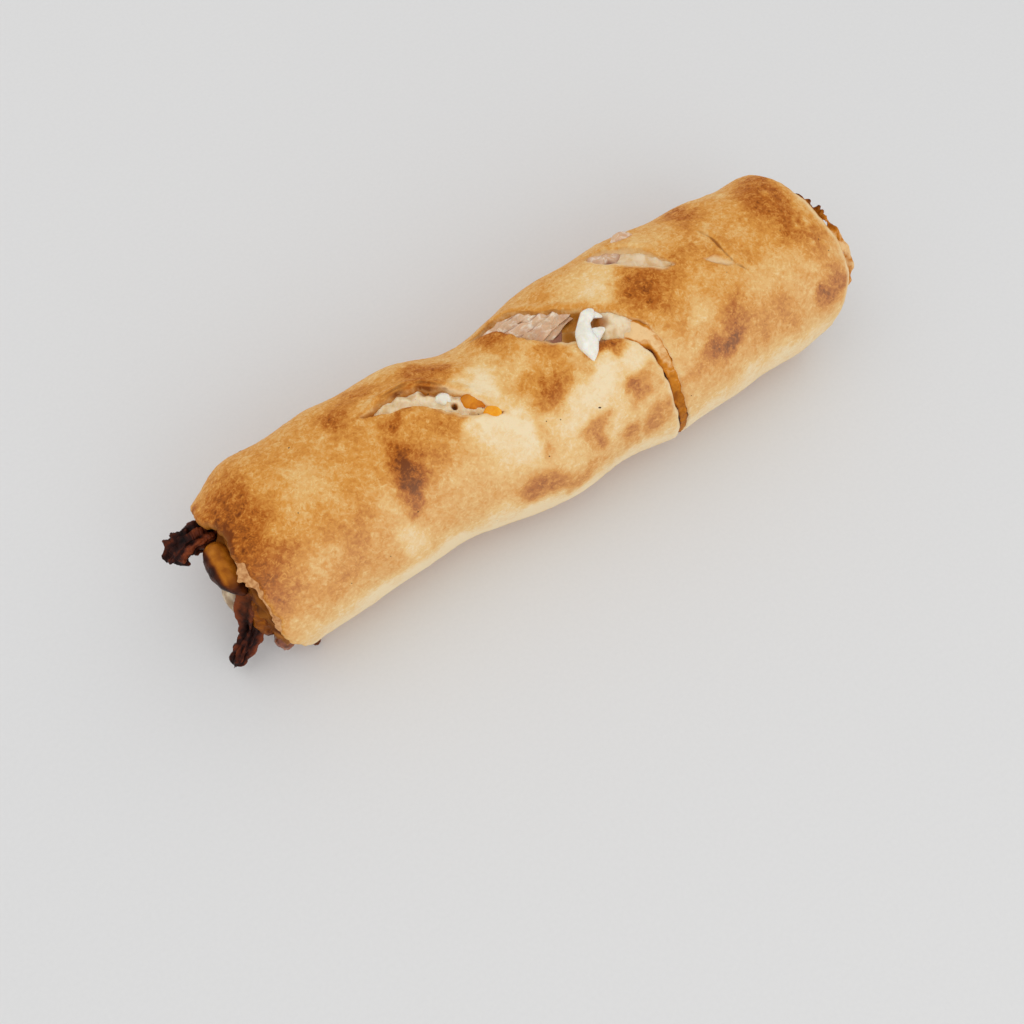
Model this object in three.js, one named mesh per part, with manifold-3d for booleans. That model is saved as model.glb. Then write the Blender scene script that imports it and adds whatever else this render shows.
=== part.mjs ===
// A baked stromboli that lies on its flat underside: a dough roll over meat and cheese, with slits
// in its top, a split down its front, charred filling at its near end and a crisp frill at its far end.
// Millimetres, +Z up. X runs along the roll from its near end, and +Y points to its back.

import * as THREE from "three";
import { mergeVertices } from "three/addons/utils/BufferGeometryUtils.js";
import Module from "manifold-3d";

const wasm = await Module();
wasm.setup();

// Driving dimensions. A station is a distance along the roll from its near end. A turn is an angle
// round the roll in degrees: 0 is the back, 90 the top, 180 the front and 270 the underside.
const ROLL_LENGTH = 252;
const HALF_WIDTH = 34.7;
const SIDE_SHIFT = 5.6;
const HEIGHT_TO_WIDTH = 0.78;
const MID_HEIGHT = 0.48;
const CROWN_POWER = 2.15;
const BASE_POWER = 2.9;
const BASE_FLATNESS = 1.05;
const DOUGH_WALL = 5;
const GAP = 0.3;

// Where the roll is fuller or slimmer, and where it bends to the back or the front
const WIDTH_CHANGES = [
  { at: 172, spread: 40, size: 3.3 },
  { at: 102, spread: 16, size: -1.2 },
  { at: -4, spread: 11, size: -3 },
  { at: 258, spread: 12, size: -3 },
];
const BENDS = [
  { at: -2, spread: 14, size: -4.8 },
  { at: 70, spread: 26, size: 2.1 },
  { at: 112, spread: 17, size: -4.4 },
  { at: 165, spread: 30, size: -0.6 },
  { at: 262, spread: 18, size: 2 },
];

// Swells and dents of the crust, each with its reach along and round the roll
const CRUST_RELIEF = [
  { at: 66, turn: 112, along: 7, round: 34, lift: -3.2 },
  { at: 86, turn: 118, along: 13, round: 30, lift: 1.6 },
  { at: 45, turn: 105, along: 16, round: 40, lift: 0.8 },
  { at: 116, turn: 131, along: 6, round: 10, lift: -1.2 },
  { at: 76, turn: 84, along: 8, round: 7, lift: 1.4 },
  { at: 92, turn: 64, along: 14, round: 10, lift: 1 },
  { at: 150, turn: 104, along: 10, round: 9, lift: 1.2 },
  { at: 120, turn: 74, along: 8, round: 9, lift: 0.9 },
  { at: 178, turn: 86, along: 15, round: 12, lift: 0.9 },
  { at: 172, turn: 128, along: 6, round: 40, lift: 0.9 },
  { at: 240, turn: 56, along: 9, round: 16, lift: 1.3 },
];
const CRUST_WAVES = { height: 0.45, long: 60, slow: 132, short: 33 };
const RELIEF_FLOOR = 4;
const RELIEF_FADE = 8;

// The lips at both ends: the near one stands out at its top back and is torn back low at the front,
// the far one is drawn in all round but at its top front, and both are ragged
const NEAR_LIP = {
  start: 2.5, standsOut: 4.5, outTurn: 38, outRound: 28, tornBack: 10, tornTurn: 208, tornRound: 32,
};
const FAR_LIP = { drawnIn: 8, turn: 115, round: 52 };
const NEAR_RAGS = [{ size: 0.6, waves: 5, phase: 40 }, { size: 0.4, waves: 11, phase: 0 }];
const FAR_RAGS = [{ size: 0.5, waves: 6, phase: 0 }, { size: 0.3, waves: 13, phase: 30 }];
const LIP_ROUND = 1.6;
const LIP_TURN_IN = [{ back: 0, inset: 1.3 }, { back: 0.5, inset: 0.4 }];

// Slits as lines of [station, turn], with their half widths from end to end
const SLITS = {
  near: {
    line: [[63, 70], [72, 73], [80, 75.5], [88, 82], [95, 90], [104, 98]],
    halfWidths: [0.4, 2.6, 3.4, 3.2, 3.1, 0.5],
  },
  middle: {
    line: [[113, 37], [124, 48], [130, 66], [138, 78], [147, 87], [155, 96], [161, 104]],
    halfWidths: [0.5, 4.2, 5.6, 6, 5, 3.4, 2.4],
  },
  front: {
    line: [
      [160, 102], [163, 112], [164, 122], [164.3, 136], [165, 152], [165.8, 168], [167.5, 186], [169, 210],
    ],
    halfWidths: [2.4, 2.8, 2.2, 1.9, 1.7, 1.6, 1.4, 0.5],
  },
  far: {
    line: [[165, 37], [168, 50], [172, 58], [177, 67], [185, 80]],
    halfWidths: [0.5, 4.4, 4.2, 3, 0.4],
  },
  crease: {
    line: [[206.5, 66], [208, 76], [207.5, 88], [207, 95], [208, 106]],
    halfWidths: [0.3, 0.6, 0.8, 0.6, 0.3],
  },
};
const ARC_PER_DEGREE = 0.6;
const CUT_ABOVE = 6;
const CUT_BELOW = 9;
const CREASE_DEPTH = 1.8;
const LIP_FLARE = 0.7;
const PLUG_SHRINK = 0.35;
const PLUG_DEPTH = 2.6;
const SLIT_STEPS = 12;
const SLIT_TIP = 0.15;

// The browned cheese that fills the split down the front, as a share of its length
const SEAM = { depth: 1, from: 0.03, to: 0.97 };

// Stretches of the slits where filling has risen into them, as shares of the slit's length
const RISEN_FILLING = [
  { slit: "near", from: 0.06, to: 0.6 },
  { slit: "middle", from: 0.04, to: 0.46 },
  { slit: "middle", from: 0.7, to: 0.95 },
  { slit: "far", from: 0.06, to: 0.94 },
];

// The filling bulges from both ends, and parts into meat at the back and cheese at the front
const CORE_INSET = DOUGH_WALL + GAP;
const CORE_END = 246;
const NEAR_BULGE = 1.6;
const FAR_BULGE = 6.6;
const DOME = [
  { out: 1, scale: 0.2 },
  { out: 0.9, scale: 0.5 },
  { out: 0.68, scale: 0.78 },
  { out: 0.38, scale: 0.93 },
];
const PARTING_SHIFT = 14;
const PARTING_BEND = { at: 139, spread: 12, size: -5 };
const PARTING_WAVE = 1.5;
const PARTING_WAVE_LENGTH = 107;
const PARTING_STEP = 8;
const BLOCK_REACH = 90;
const BLOCK_OVERRUN = 24;

// The thin frill of fried cheese that stands out of the far end and flares past the lip
const FRILL = {
  fromTurn: 66, toTurn: 158, rootStation: 240, rootInset: 8.2, thickness: 1.6, bendPastLip: 0.8,
  rise: 1, flare: 2.8, standsOut: 2.4, spread: 4.6, ragOut: 1.3, ragIn: 0.6, seed: 3,
};

// Facets
const CRUST_STEPS = 48;
const CRUST_SIDES = 36;
const CORE_STEPS = 30;
const CORE_SIDES = 20;
const FRILL_STEPS = 24;
const MERGE_DISTANCE = 1e-4;
const DEGREE = Math.PI / 180;

// Small helpers
const clamp = THREE.MathUtils.clamp;
const signedPower = (value, power) => Math.sign(value) * Math.abs(value) ** power;
const bell = (distance, spread) => Math.exp(-((distance / spread) ** 2));
const turnBetween = (a, b) => THREE.MathUtils.euclideanModulo(a - b + 180, 360) - 180;

function sumOfBells(changes, station) {
  return changes.reduce((sum, { at, spread, size }) => sum + size * bell(station - at, spread), 0);
}

// A value read from an evenly spaced list at a share of its length
function alongList(values, share) {
  const place = clamp(share, 0, 1) * (values.length - 1);
  const step = Math.min(Math.floor(place), values.length - 2);
  return THREE.MathUtils.lerp(values[step], values[step + 1], place - step);
}

// A repeatable rough number from -1 to 1
function rough(step, side, seed) {
  const mixed = Math.sin(step * 12.9898 + side * 78.233 + seed * 37.719) * 43758.5453;
  return 2 * (mixed - Math.floor(mixed)) - 1;
}

// The roll's curves
const halfWidth = (station) => HALF_WIDTH + sumOfBells(WIDTH_CHANGES, station);
const centreLine = (station) => SIDE_SHIFT + sumOfBells(BENDS, station);
const middleHeight = (station) => 2 * HEIGHT_TO_WIDTH * halfWidth(station) * MID_HEIGHT;

function crustRelief(station, turn) {
  const angle = turn * DEGREE;
  const cycles = (length) => (2 * Math.PI * station) / length;
  const longWave = Math.sin(cycles(CRUST_WAVES.long) + 2 * angle) * Math.cos(cycles(CRUST_WAVES.slow));
  const shortWave = Math.sin(cycles(CRUST_WAVES.short) - 3 * angle);
  const swells = CRUST_RELIEF.reduce((sum, swell) => {
    const near = bell(station - swell.at, swell.along) * bell(turnBetween(turn, swell.turn), swell.round);
    return sum + swell.lift * near;
  }, 0);
  return CRUST_WAVES.height * (longWave + shortWave) + swells;
}

// A point on the roll's skin, or inset below it towards the filling
function skin(station, turn, inset) {
  const angle = turn * DEGREE;
  const half = halfWidth(station);
  const height = 2 * HEIGHT_TO_WIDTH * half;
  const middle = middleHeight(station);
  const above = Math.sin(angle) >= 0;
  const power = 2 / (above ? CROWN_POWER : BASE_POWER);
  const rise = above ? height - middle - inset : (middle - inset) * BASE_FLATNESS;
  const across = (half - inset) * signedPower(Math.cos(angle), power);
  const up = rise * signedPower(Math.sin(angle), power);
  const reach = Math.max(Math.hypot(across, up), 1);
  const clearOfBase = clamp((middle + up - RELIEF_FLOOR) / RELIEF_FADE, 0, 1);
  const nearSkin = clamp(1 - inset / DOUGH_WALL, 0, 1);
  const swell = 1 + (crustRelief(station, turn) * clearOfBase * nearSkin) / reach;
  const level = Math.max(middle + up * swell, inset, 0);
  return new THREE.Vector3(station, centreLine(station) + across * swell, level);
}

// The uneven lips at both ends
function rags(list, turn) {
  const wave = ({ size, waves, phase }) => size * Math.sin((waves * turn + phase) * DEGREE);
  return list.reduce((sum, rag) => sum + wave(rag), 0);
}

function nearLip(turn) {
  const torn = NEAR_LIP.tornBack * bell(turnBetween(turn, NEAR_LIP.tornTurn), NEAR_LIP.tornRound);
  const out = NEAR_LIP.standsOut * bell(turnBetween(turn, NEAR_LIP.outTurn), NEAR_LIP.outRound);
  return NEAR_LIP.start + torn - out + rags(NEAR_RAGS, turn);
}

function farLip(turn) {
  const drawn = FAR_LIP.drawnIn * (1 - bell(turnBetween(turn, FAR_LIP.turn), FAR_LIP.round));
  return ROLL_LENGTH - drawn + rags(FAR_RAGS, turn);
}

// A closed surface through rings of points, with a fan over each end
function loft(rings) {
  const sides = rings[0].length;
  const middleOf = (ring) => ring.reduce((sum, p) => sum.add(p), new THREE.Vector3()).divideScalar(sides);
  const points = [...rings.flat(), middleOf(rings[0]), middleOf(rings[rings.length - 1])];
  const firstTip = rings.length * sides;
  const lastRing = firstTip - sides;
  const index = [];
  for (let side = 0; side < sides; side += 1) {
    const next = (side + 1) % sides;
    for (let ring = 0; ring < lastRing; ring += sides) {
      index.push(ring + side, ring + next, ring + next + sides);
      index.push(ring + side, ring + next + sides, ring + side + sides);
    }
    index.push(firstTip, next, side);
    index.push(firstTip + 1, lastRing + side, lastRing + next);
  }
  return new THREE.BufferGeometry().setFromPoints(points).setIndex(index);
}

function signedVolume(points, index) {
  const [a, b, c] = [new THREE.Vector3(), new THREE.Vector3(), new THREE.Vector3()];
  let volume = 0;
  for (let i = 0; i < index.length; i += 3) {
    a.fromArray(points, 3 * index[i]);
    b.fromArray(points, 3 * index[i + 1]);
    c.fromArray(points, 3 * index[i + 2]);
    volume += a.dot(b.cross(c)) / 6;
  }
  return volume;
}

// A closed geometry as a solid with its faces outwards, for cutting and joining
function solid(geometry) {
  geometry.deleteAttribute("normal");
  geometry.deleteAttribute("uv");
  const merged = mergeVertices(geometry, MERGE_DISTANCE);
  const points = merged.attributes.position.array;
  const all = merged.index.array;
  const kept = [];
  for (let i = 0; i < all.length; i += 3) {
    const [a, b, c] = [all[i], all[i + 1], all[i + 2]];
    if (a !== b && b !== c && c !== a) {
      kept.push(a, b, c);
    }
  }
  if (signedVolume(points, kept) < 0) {
    kept.reverse();
  }
  const vertProperties = Float32Array.from(points);
  const triVerts = Uint32Array.from(kept);
  return new wasm.Manifold(new wasm.Mesh({ numProp: 3, vertProperties, triVerts }));
}

const largestPiece = (body) =>
  body.decompose().reduce((best, piece) => (piece.volume() > best.volume() ? piece : best));

function ringOfSkin(stationAt, inset, sides) {
  return Array.from({ length: sides }, (_, side) => {
    const turn = (360 * side) / sides;
    return skin(stationAt(turn), turn, inset);
  });
}

// The dough's outside, with its lips turned in a little at both ends
function crustBody(grow) {
  const lipRing = (lip, inwards) => ({ back, inset }) =>
    ringOfSkin((turn) => lip(turn) + inwards * (back - grow), inset - grow, CRUST_SIDES);
  const walls = Array.from({ length: CRUST_STEPS + 1 }, (_, step) => {
    const stationAt = (turn) =>
      THREE.MathUtils.lerp(nearLip(turn) + LIP_ROUND, farLip(turn) - LIP_ROUND, step / CRUST_STEPS);
    return ringOfSkin(stationAt, -grow, CRUST_SIDES);
  });
  const nearRings = LIP_TURN_IN.map(lipRing(nearLip, 1));
  const farRings = LIP_TURN_IN.map(lipRing(farLip, -1)).reverse();
  return solid(loft([...nearRings, ...walls, ...farRings]));
}

// Stations shared by the dough's hollow and the filling, so that the gap between them stays even
const coreStations = Array.from({ length: CORE_STEPS + 1 }, (_, step) => (CORE_END * step) / CORE_STEPS);

function hollowBody(grow) {
  const stations = [-BLOCK_OVERRUN, ...coreStations, CORE_END + BLOCK_OVERRUN];
  return solid(loft(stations.map((at) => ringOfSkin(() => at, DOUGH_WALL + grow, CORE_SIDES))));
}

// A prism that follows a slit over the skin, between two insets
function slitBody(slit, { shrink = 0, low, high, flare = 0, from = 0, to = 1 }) {
  const flat = slit.line.map(([at, turn]) => new THREE.Vector3(at, turn * ARC_PER_DEGREE, 0));
  const curve = new THREE.CatmullRomCurve3(flat, false, "centripetal");
  const rings = Array.from({ length: SLIT_STEPS + 1 }, (_, step) => {
    const share = THREE.MathUtils.lerp(from, to, step / SLIT_STEPS);
    const { x, y } = curve.getPoint(share);
    const along = curve.getTangent(share);
    const half = Math.max(alongList(slit.halfWidths, share) - shrink, SLIT_TIP);
    const corner = (side, inset, extra) => {
      const reach = side * (half + extra);
      return skin(x - along.y * reach, (y + along.x * reach) / ARC_PER_DEGREE, inset);
    };
    return [corner(-1, low, 0), corner(1, low, 0), corner(1, high, flare), corner(-1, high, flare)];
  });
  return solid(loft(rings));
}

function doughBody(grow) {
  const cuts = Object.entries(SLITS).map(([name, slit]) => {
    const low = name === "crease" ? CREASE_DEPTH : CUT_BELOW;
    return slitBody(slit, { shrink: grow, low, high: -CUT_ABOVE, flare: LIP_FLARE });
  });
  return cuts.reduce((dough, cut) => dough.subtract(cut), crustBody(grow).subtract(hollowBody(grow)));
}

// The whole filling: the core inside the dough, its bulging ends and what has risen into the slits
function fillingBody(grow) {
  const inset = CORE_INSET - grow;
  const domeRing = (station, bulge, outwards) => ({ out, scale }) => {
    const heart = new THREE.Vector3(station, centreLine(station), middleHeight(station));
    const shift = outwards * (bulge * out + grow);
    return ringOfSkin(() => station, inset, CORE_SIDES).map((p) => {
      p.lerpVectors(heart, p, scale);
      p.x += shift;
      return p;
    });
  };
  const nearDome = DOME.map(domeRing(0, NEAR_BULGE, -1));
  const farDome = DOME.map(domeRing(CORE_END, FAR_BULGE, 1)).reverse();
  const walls = coreStations.map((at) => ringOfSkin(() => at, inset, CORE_SIDES));
  const core = solid(loft([...nearDome, ...walls, ...farDome]));
  const risen = RISEN_FILLING.map(({ slit, from, to }) =>
    slitBody(SLITS[slit], { shrink: PLUG_SHRINK - grow, low: CUT_BELOW, high: PLUG_DEPTH - grow, from, to }),
  );
  return risen.reduce((filling, plug) => filling.add(plug), core);
}

// Everything in front of the wavy line where cheese meets meat
function cheeseSide(shift) {
  const start = -BLOCK_OVERRUN;
  const end = CORE_END + BLOCK_OVERRUN;
  const outline = [];
  for (let at = start; at <= end; at += PARTING_STEP) {
    const wave = PARTING_WAVE * Math.sin((2 * Math.PI * at) / PARTING_WAVE_LENGTH);
    const parting = centreLine(at) + PARTING_SHIFT + sumOfBells([PARTING_BEND], at) + wave;
    outline.push(new THREE.Vector2(at, parting + shift));
  }
  const last = outline[outline.length - 1].x;
  outline.push(new THREE.Vector2(last, -BLOCK_REACH), new THREE.Vector2(start, -BLOCK_REACH));
  const options = { depth: BLOCK_REACH + BLOCK_OVERRUN, bevelEnabled: false };
  const block = new THREE.ExtrudeGeometry(new THREE.Shape(outline), options);
  return solid(block.translate(0, 0, -BLOCK_OVERRUN));
}

// A craggy lump along a path, as wide across as `widths` and as thick as `heights`, both half sizes
function lumpBody({ path, widths, heights, across, crag, seed, steps, sides }) {
  const curve = new THREE.CatmullRomCurve3(path, false, "centripetal");
  const rings = Array.from({ length: steps + 1 }, (_, step) => {
    const share = step / steps;
    const centre = curve.getPoint(share);
    const along = curve.getTangent(share);
    const wide = across.clone().addScaledVector(along, -across.dot(along)).normalize();
    const thick = new THREE.Vector3().crossVectors(along, wide);
    return Array.from({ length: sides }, (__, side) => {
      const angle = (2 * Math.PI * side) / sides;
      const bump = 1 + crag * rough(step, side, seed);
      return centre
        .clone()
        .addScaledVector(wide, alongList(widths, share) * bump * Math.cos(angle))
        .addScaledVector(thick, alongList(heights, share) * bump * Math.sin(angle));
    });
  });
  return solid(loft(rings));
}

// The crisp frill as a thin band round the top of the far end, with a ragged edge
function frillBody() {
  const { rootStation, rootInset, thickness, seed } = FRILL;
  const rings = Array.from({ length: FRILL_STEPS + 1 }, (_, step) => {
    const share = step / FRILL_STEPS;
    const turn = THREE.MathUtils.lerp(FRILL.fromTurn, FRILL.toTurn, share);
    const reach = FRILL.standsOut + FRILL.spread * Math.sqrt(share) + FRILL.ragOut * rough(step, 0, seed);
    const bendInset = rootInset - FRILL.rise;
    const tipInset = bendInset - FRILL.flare + FRILL.ragIn * rough(step, 1, seed);
    const bendStation = farLip(turn) + FRILL.bendPastLip;
    const profile = [[rootStation, rootInset], [bendStation, bendInset], [farLip(turn) + reach, tipInset]];
    const under = profile.map(([at, inset]) => skin(at, turn, inset));
    const over = profile.map(([at, inset]) => skin(at, turn, inset - thickness));
    return [...under, ...over.reverse()];
  });
  return solid(loft(rings));
}

// Points of a path, in the roll's own millimetres or on its skin as [station, turn, lift]
const pathAt = (points) => points.map(([x, y, z]) => new THREE.Vector3(x, y, z));
const pathOnSkin = (points) => points.map(([station, turn, lift]) => skin(station, turn, -lift));
const ALONG_ROLL = new THREE.Vector3(1, 0, 0);
const ACROSS_ROLL = new THREE.Vector3(0, 1, 0);

// Spilled, pulled and burnt pieces
const SPILLS = {
  cheese_pull: {
    path: pathOnSkin([[150, 77, -3.2], [146.5, 84, -0.6], [143.5, 91, 1.8], [141.5, 97, 2.2], [140, 104, 1]]),
    widths: [2, 3.4, 4, 3.2, 1], heights: [1.4, 2, 2.2, 1.8, 0.8], across: ALONG_ROLL,
    crag: 0.06, seed: 1, steps: 10, sides: 10, colour: "#f4efe0", roughness: 0.35,
  },
  orange_cheese_1: {
    path: pathOnSkin([[94.5, 86, -4], [97, 88.5, -3], [100.5, 93, -2.6]]),
    widths: [0.8, 2.5, 0.9], heights: [0.8, 1.8, 0.8], across: ACROSS_ROLL,
    crag: 0.15, seed: 2, steps: 6, sides: 8, colour: "#d98a2b", roughness: 0.45,
  },
  orange_cheese_2: {
    path: pathOnSkin([[100, 93.5, -1.8], [101.8, 96, -0.6], [103.6, 98.5, -0.2]]),
    widths: [0.8, 2.3, 0.8], heights: [0.7, 1.7, 0.7], across: ACROSS_ROLL,
    crag: 0.12, seed: 3, steps: 6, sides: 8, colour: "#e0962f", roughness: 0.45,
  },
  cheese_bubble: {
    path: pathAt([[-0.5, 11.5, 36], [-2, 6.5, 39], [-1.8, -0.5, 39], [0, -8, 34]]),
    widths: [1.2, 4.8, 5.2, 1.4], heights: [1.5, 6, 6.5, 1.6], across: ALONG_ROLL,
    crag: 0.07, seed: 4, steps: 9, sides: 12, colour: "#a8641c", roughness: 0.4,
  },
  cheese_spill: {
    path: pathAt([[3, 3, 24], [-1.2, 0.2, 20], [-2.6, -6, 14]]),
    widths: [3, 5.5, 2.5], heights: [3, 5, 2.5], across: ALONG_ROLL,
    crag: 0.06, seed: 8, steps: 7, sides: 10, colour: "#e6d3a8", roughness: 0.45,
  },
  charred_strip_upper: {
    path: pathAt([[2, 17, 36], [-3, 17, 38], [-8, 17, 39], [-12, 16.5, 38], [-14.3, 16, 36]]),
    widths: [3.4, 3.8, 4.2, 4.9, 2.8], heights: [2.6, 3, 3.2, 3, 1.6], across: ACROSS_ROLL,
    crag: 0.24, seed: 5, steps: 12, sides: 10, colour: "#2e150c", roughness: 0.75,
  },
  charred_strip_lower: {
    path: pathAt([[4, -8, 28], [0.5, -10, 24.5], [-4.8, -13.8, 17], [-10.5, -16.4, 11], [-16, -18.7, 6.5]]),
    widths: [4.4, 5, 4, 3.2, 2.2], heights: [3, 3.4, 3, 2.6, 1.6], across: new THREE.Vector3(-0.4, 1, 0.3),
    crag: 0.22, seed: 6, steps: 14, sides: 10, colour: "#35190e", roughness: 0.75,
  },
  meat_scrap: {
    path: pathAt([[4.5, -17, 11], [3.6, -20, 9], [3, -24.5, 7]]),
    widths: [1.6, 3.4, 1.8], heights: [1.6, 3.2, 1.6], across: ALONG_ROLL,
    crag: 0.16, seed: 7, steps: 7, sides: 9, colour: "#a8766a", roughness: 0.6,
  },
};

const stromboli = new THREE.Group();

function addPart(name, body, colour, roughness) {
  const { vertProperties, triVerts } = body.getMesh();
  const geometry = new THREE.BufferGeometry();
  geometry.setAttribute("position", new THREE.BufferAttribute(vertProperties, 3));
  geometry.setIndex(new THREE.BufferAttribute(triVerts, 1));
  geometry.computeVertexNormals();
  const material = new THREE.MeshStandardMaterial({ color: colour, roughness, metalness: 0 });
  const mesh = new THREE.Mesh(geometry, material);
  mesh.name = name;
  stromboli.add(mesh);
}

// The dough and its filling
const filling = fillingBody(0);
addPart("dough_roll", doughBody(0), "#d79a4e", 0.65);
addPart("meat_filling", largestPiece(filling.subtract(cheeseSide(GAP))), "#b79a86", 0.55);
addPart("cheese_filling", largestPiece(filling.intersect(cheeseSide(0))), "#ecdcb4", 0.45);

// What sits in the slits and at the ends keeps a small gap to the dough and the filling
const grownDough = doughBody(GAP);
const grownFilling = fillingBody(GAP);
const trimmed = (body) => largestPiece(body.subtract(grownDough).subtract(grownFilling));

const { depth, from, to } = SEAM;
const seam = slitBody(SLITS.front, { shrink: PLUG_SHRINK, low: DOUGH_WALL, high: depth, from, to });
addPart("seam_cheese", trimmed(seam), "#b4762f", 0.5);

let taken = grownFilling;
for (const [name, { colour, roughness, ...shape }] of Object.entries(SPILLS)) {
  const body = largestPiece(lumpBody(shape).subtract(grownDough).subtract(taken));
  addPart(name, body, colour, roughness);
  const nearMiss = lumpBody({
    ...shape,
    widths: shape.widths.map((width) => width + 2 * GAP),
    heights: shape.heights.map((height) => height + 2 * GAP),
  });
  taken = taken.add(nearMiss);
}
addPart("crisp_frill", trimmed(frillBody()), "#8a4f1d", 0.6);

// The origin is at the middle of the underside of the whole roll
const bounds = new THREE.Box3().setFromObject(stromboli);
const middle = bounds.getCenter(new THREE.Vector3());
stromboli.position.set(-middle.x, -middle.y, -bounds.min.z);

export default stromboli;
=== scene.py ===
"""Looks of a baked stromboli, built over its solids and laid out as an add-on."""

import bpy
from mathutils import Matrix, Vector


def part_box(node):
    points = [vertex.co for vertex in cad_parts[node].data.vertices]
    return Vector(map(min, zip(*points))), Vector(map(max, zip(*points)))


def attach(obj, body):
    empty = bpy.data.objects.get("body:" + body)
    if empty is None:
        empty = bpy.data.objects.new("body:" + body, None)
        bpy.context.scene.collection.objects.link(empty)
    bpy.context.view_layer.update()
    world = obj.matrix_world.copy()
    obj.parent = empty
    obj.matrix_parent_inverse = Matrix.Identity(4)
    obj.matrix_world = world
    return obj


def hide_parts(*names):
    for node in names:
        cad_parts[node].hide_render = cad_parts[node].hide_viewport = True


bl_info = {
    "name": "Baked Stromboli",
    "version": (1, 0, 0),
    "blender": (4, 5, 0),
    "location": "View3D > Sidebar > Stromboli",
    "description": "Builds a baked stromboli with its slits, filling, charred end and crisp frill",
    "category": "Object",
}

import bpy
import numpy as np
from bpy.props import FloatProperty, FloatVectorProperty, PointerProperty
from mathutils import Matrix, Vector

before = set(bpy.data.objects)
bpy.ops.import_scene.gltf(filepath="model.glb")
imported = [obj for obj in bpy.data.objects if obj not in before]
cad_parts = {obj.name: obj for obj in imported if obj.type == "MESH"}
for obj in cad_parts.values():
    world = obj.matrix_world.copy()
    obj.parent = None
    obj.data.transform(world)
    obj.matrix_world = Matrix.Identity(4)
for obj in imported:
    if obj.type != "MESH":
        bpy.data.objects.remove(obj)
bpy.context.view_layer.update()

# The roll's sizes in millimetres, as its solids have them. A station is a distance along the roll from
# its near end. A turn is an angle round it in degrees: 0 is the back, 90 the top, 180 the front.
MM = 0.001
ROLL_LENGTH = 252.0
HALF_WIDTH = 34.7
SIDE_SHIFT = 5.6
HEIGHT_TO_WIDTH = 0.78
MID_HEIGHT = 0.48
CROWN_POWER = 2.15
BASE_POWER = 2.9
BASE_FLATNESS = 1.05
DOUGH_WALL = 5.0
RELIEF_FLOOR = 4.0
RELIEF_FADE = 8.0
ARC_PER_DEGREE = 0.6

# Where the roll is fuller or slimmer, and where it bends: station, spread, size
WIDTH_CHANGES = ((172, 40, 3.3), (102, 16, -1.2), (-4, 11, -3.0), (258, 12, -3.0))
BENDS = ((-2, 14, -4.8), (70, 26, 2.1), (112, 17, -4.4), (165, 30, -0.6), (262, 18, 2.0))

# Swells and dents of the crust: station, turn, reach along, reach round, lift
CRUST_RELIEF = (
    (66, 112, 7, 34, -3.2), (86, 118, 13, 30, 1.6), (45, 105, 16, 40, 0.8), (116, 131, 6, 10, -1.2),
    (76, 84, 8, 7, 1.4), (92, 64, 14, 10, 1.0), (150, 104, 10, 9, 1.2), (120, 74, 8, 9, 0.9),
    (178, 86, 15, 12, 0.9), (172, 128, 6, 40, 0.9), (240, 56, 9, 16, 1.3),
)
WAVE_HEIGHT = 0.45
WAVE_LENGTHS = (60.0, 132.0, 33.0)
UNEVEN_WAVES = 9

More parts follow.
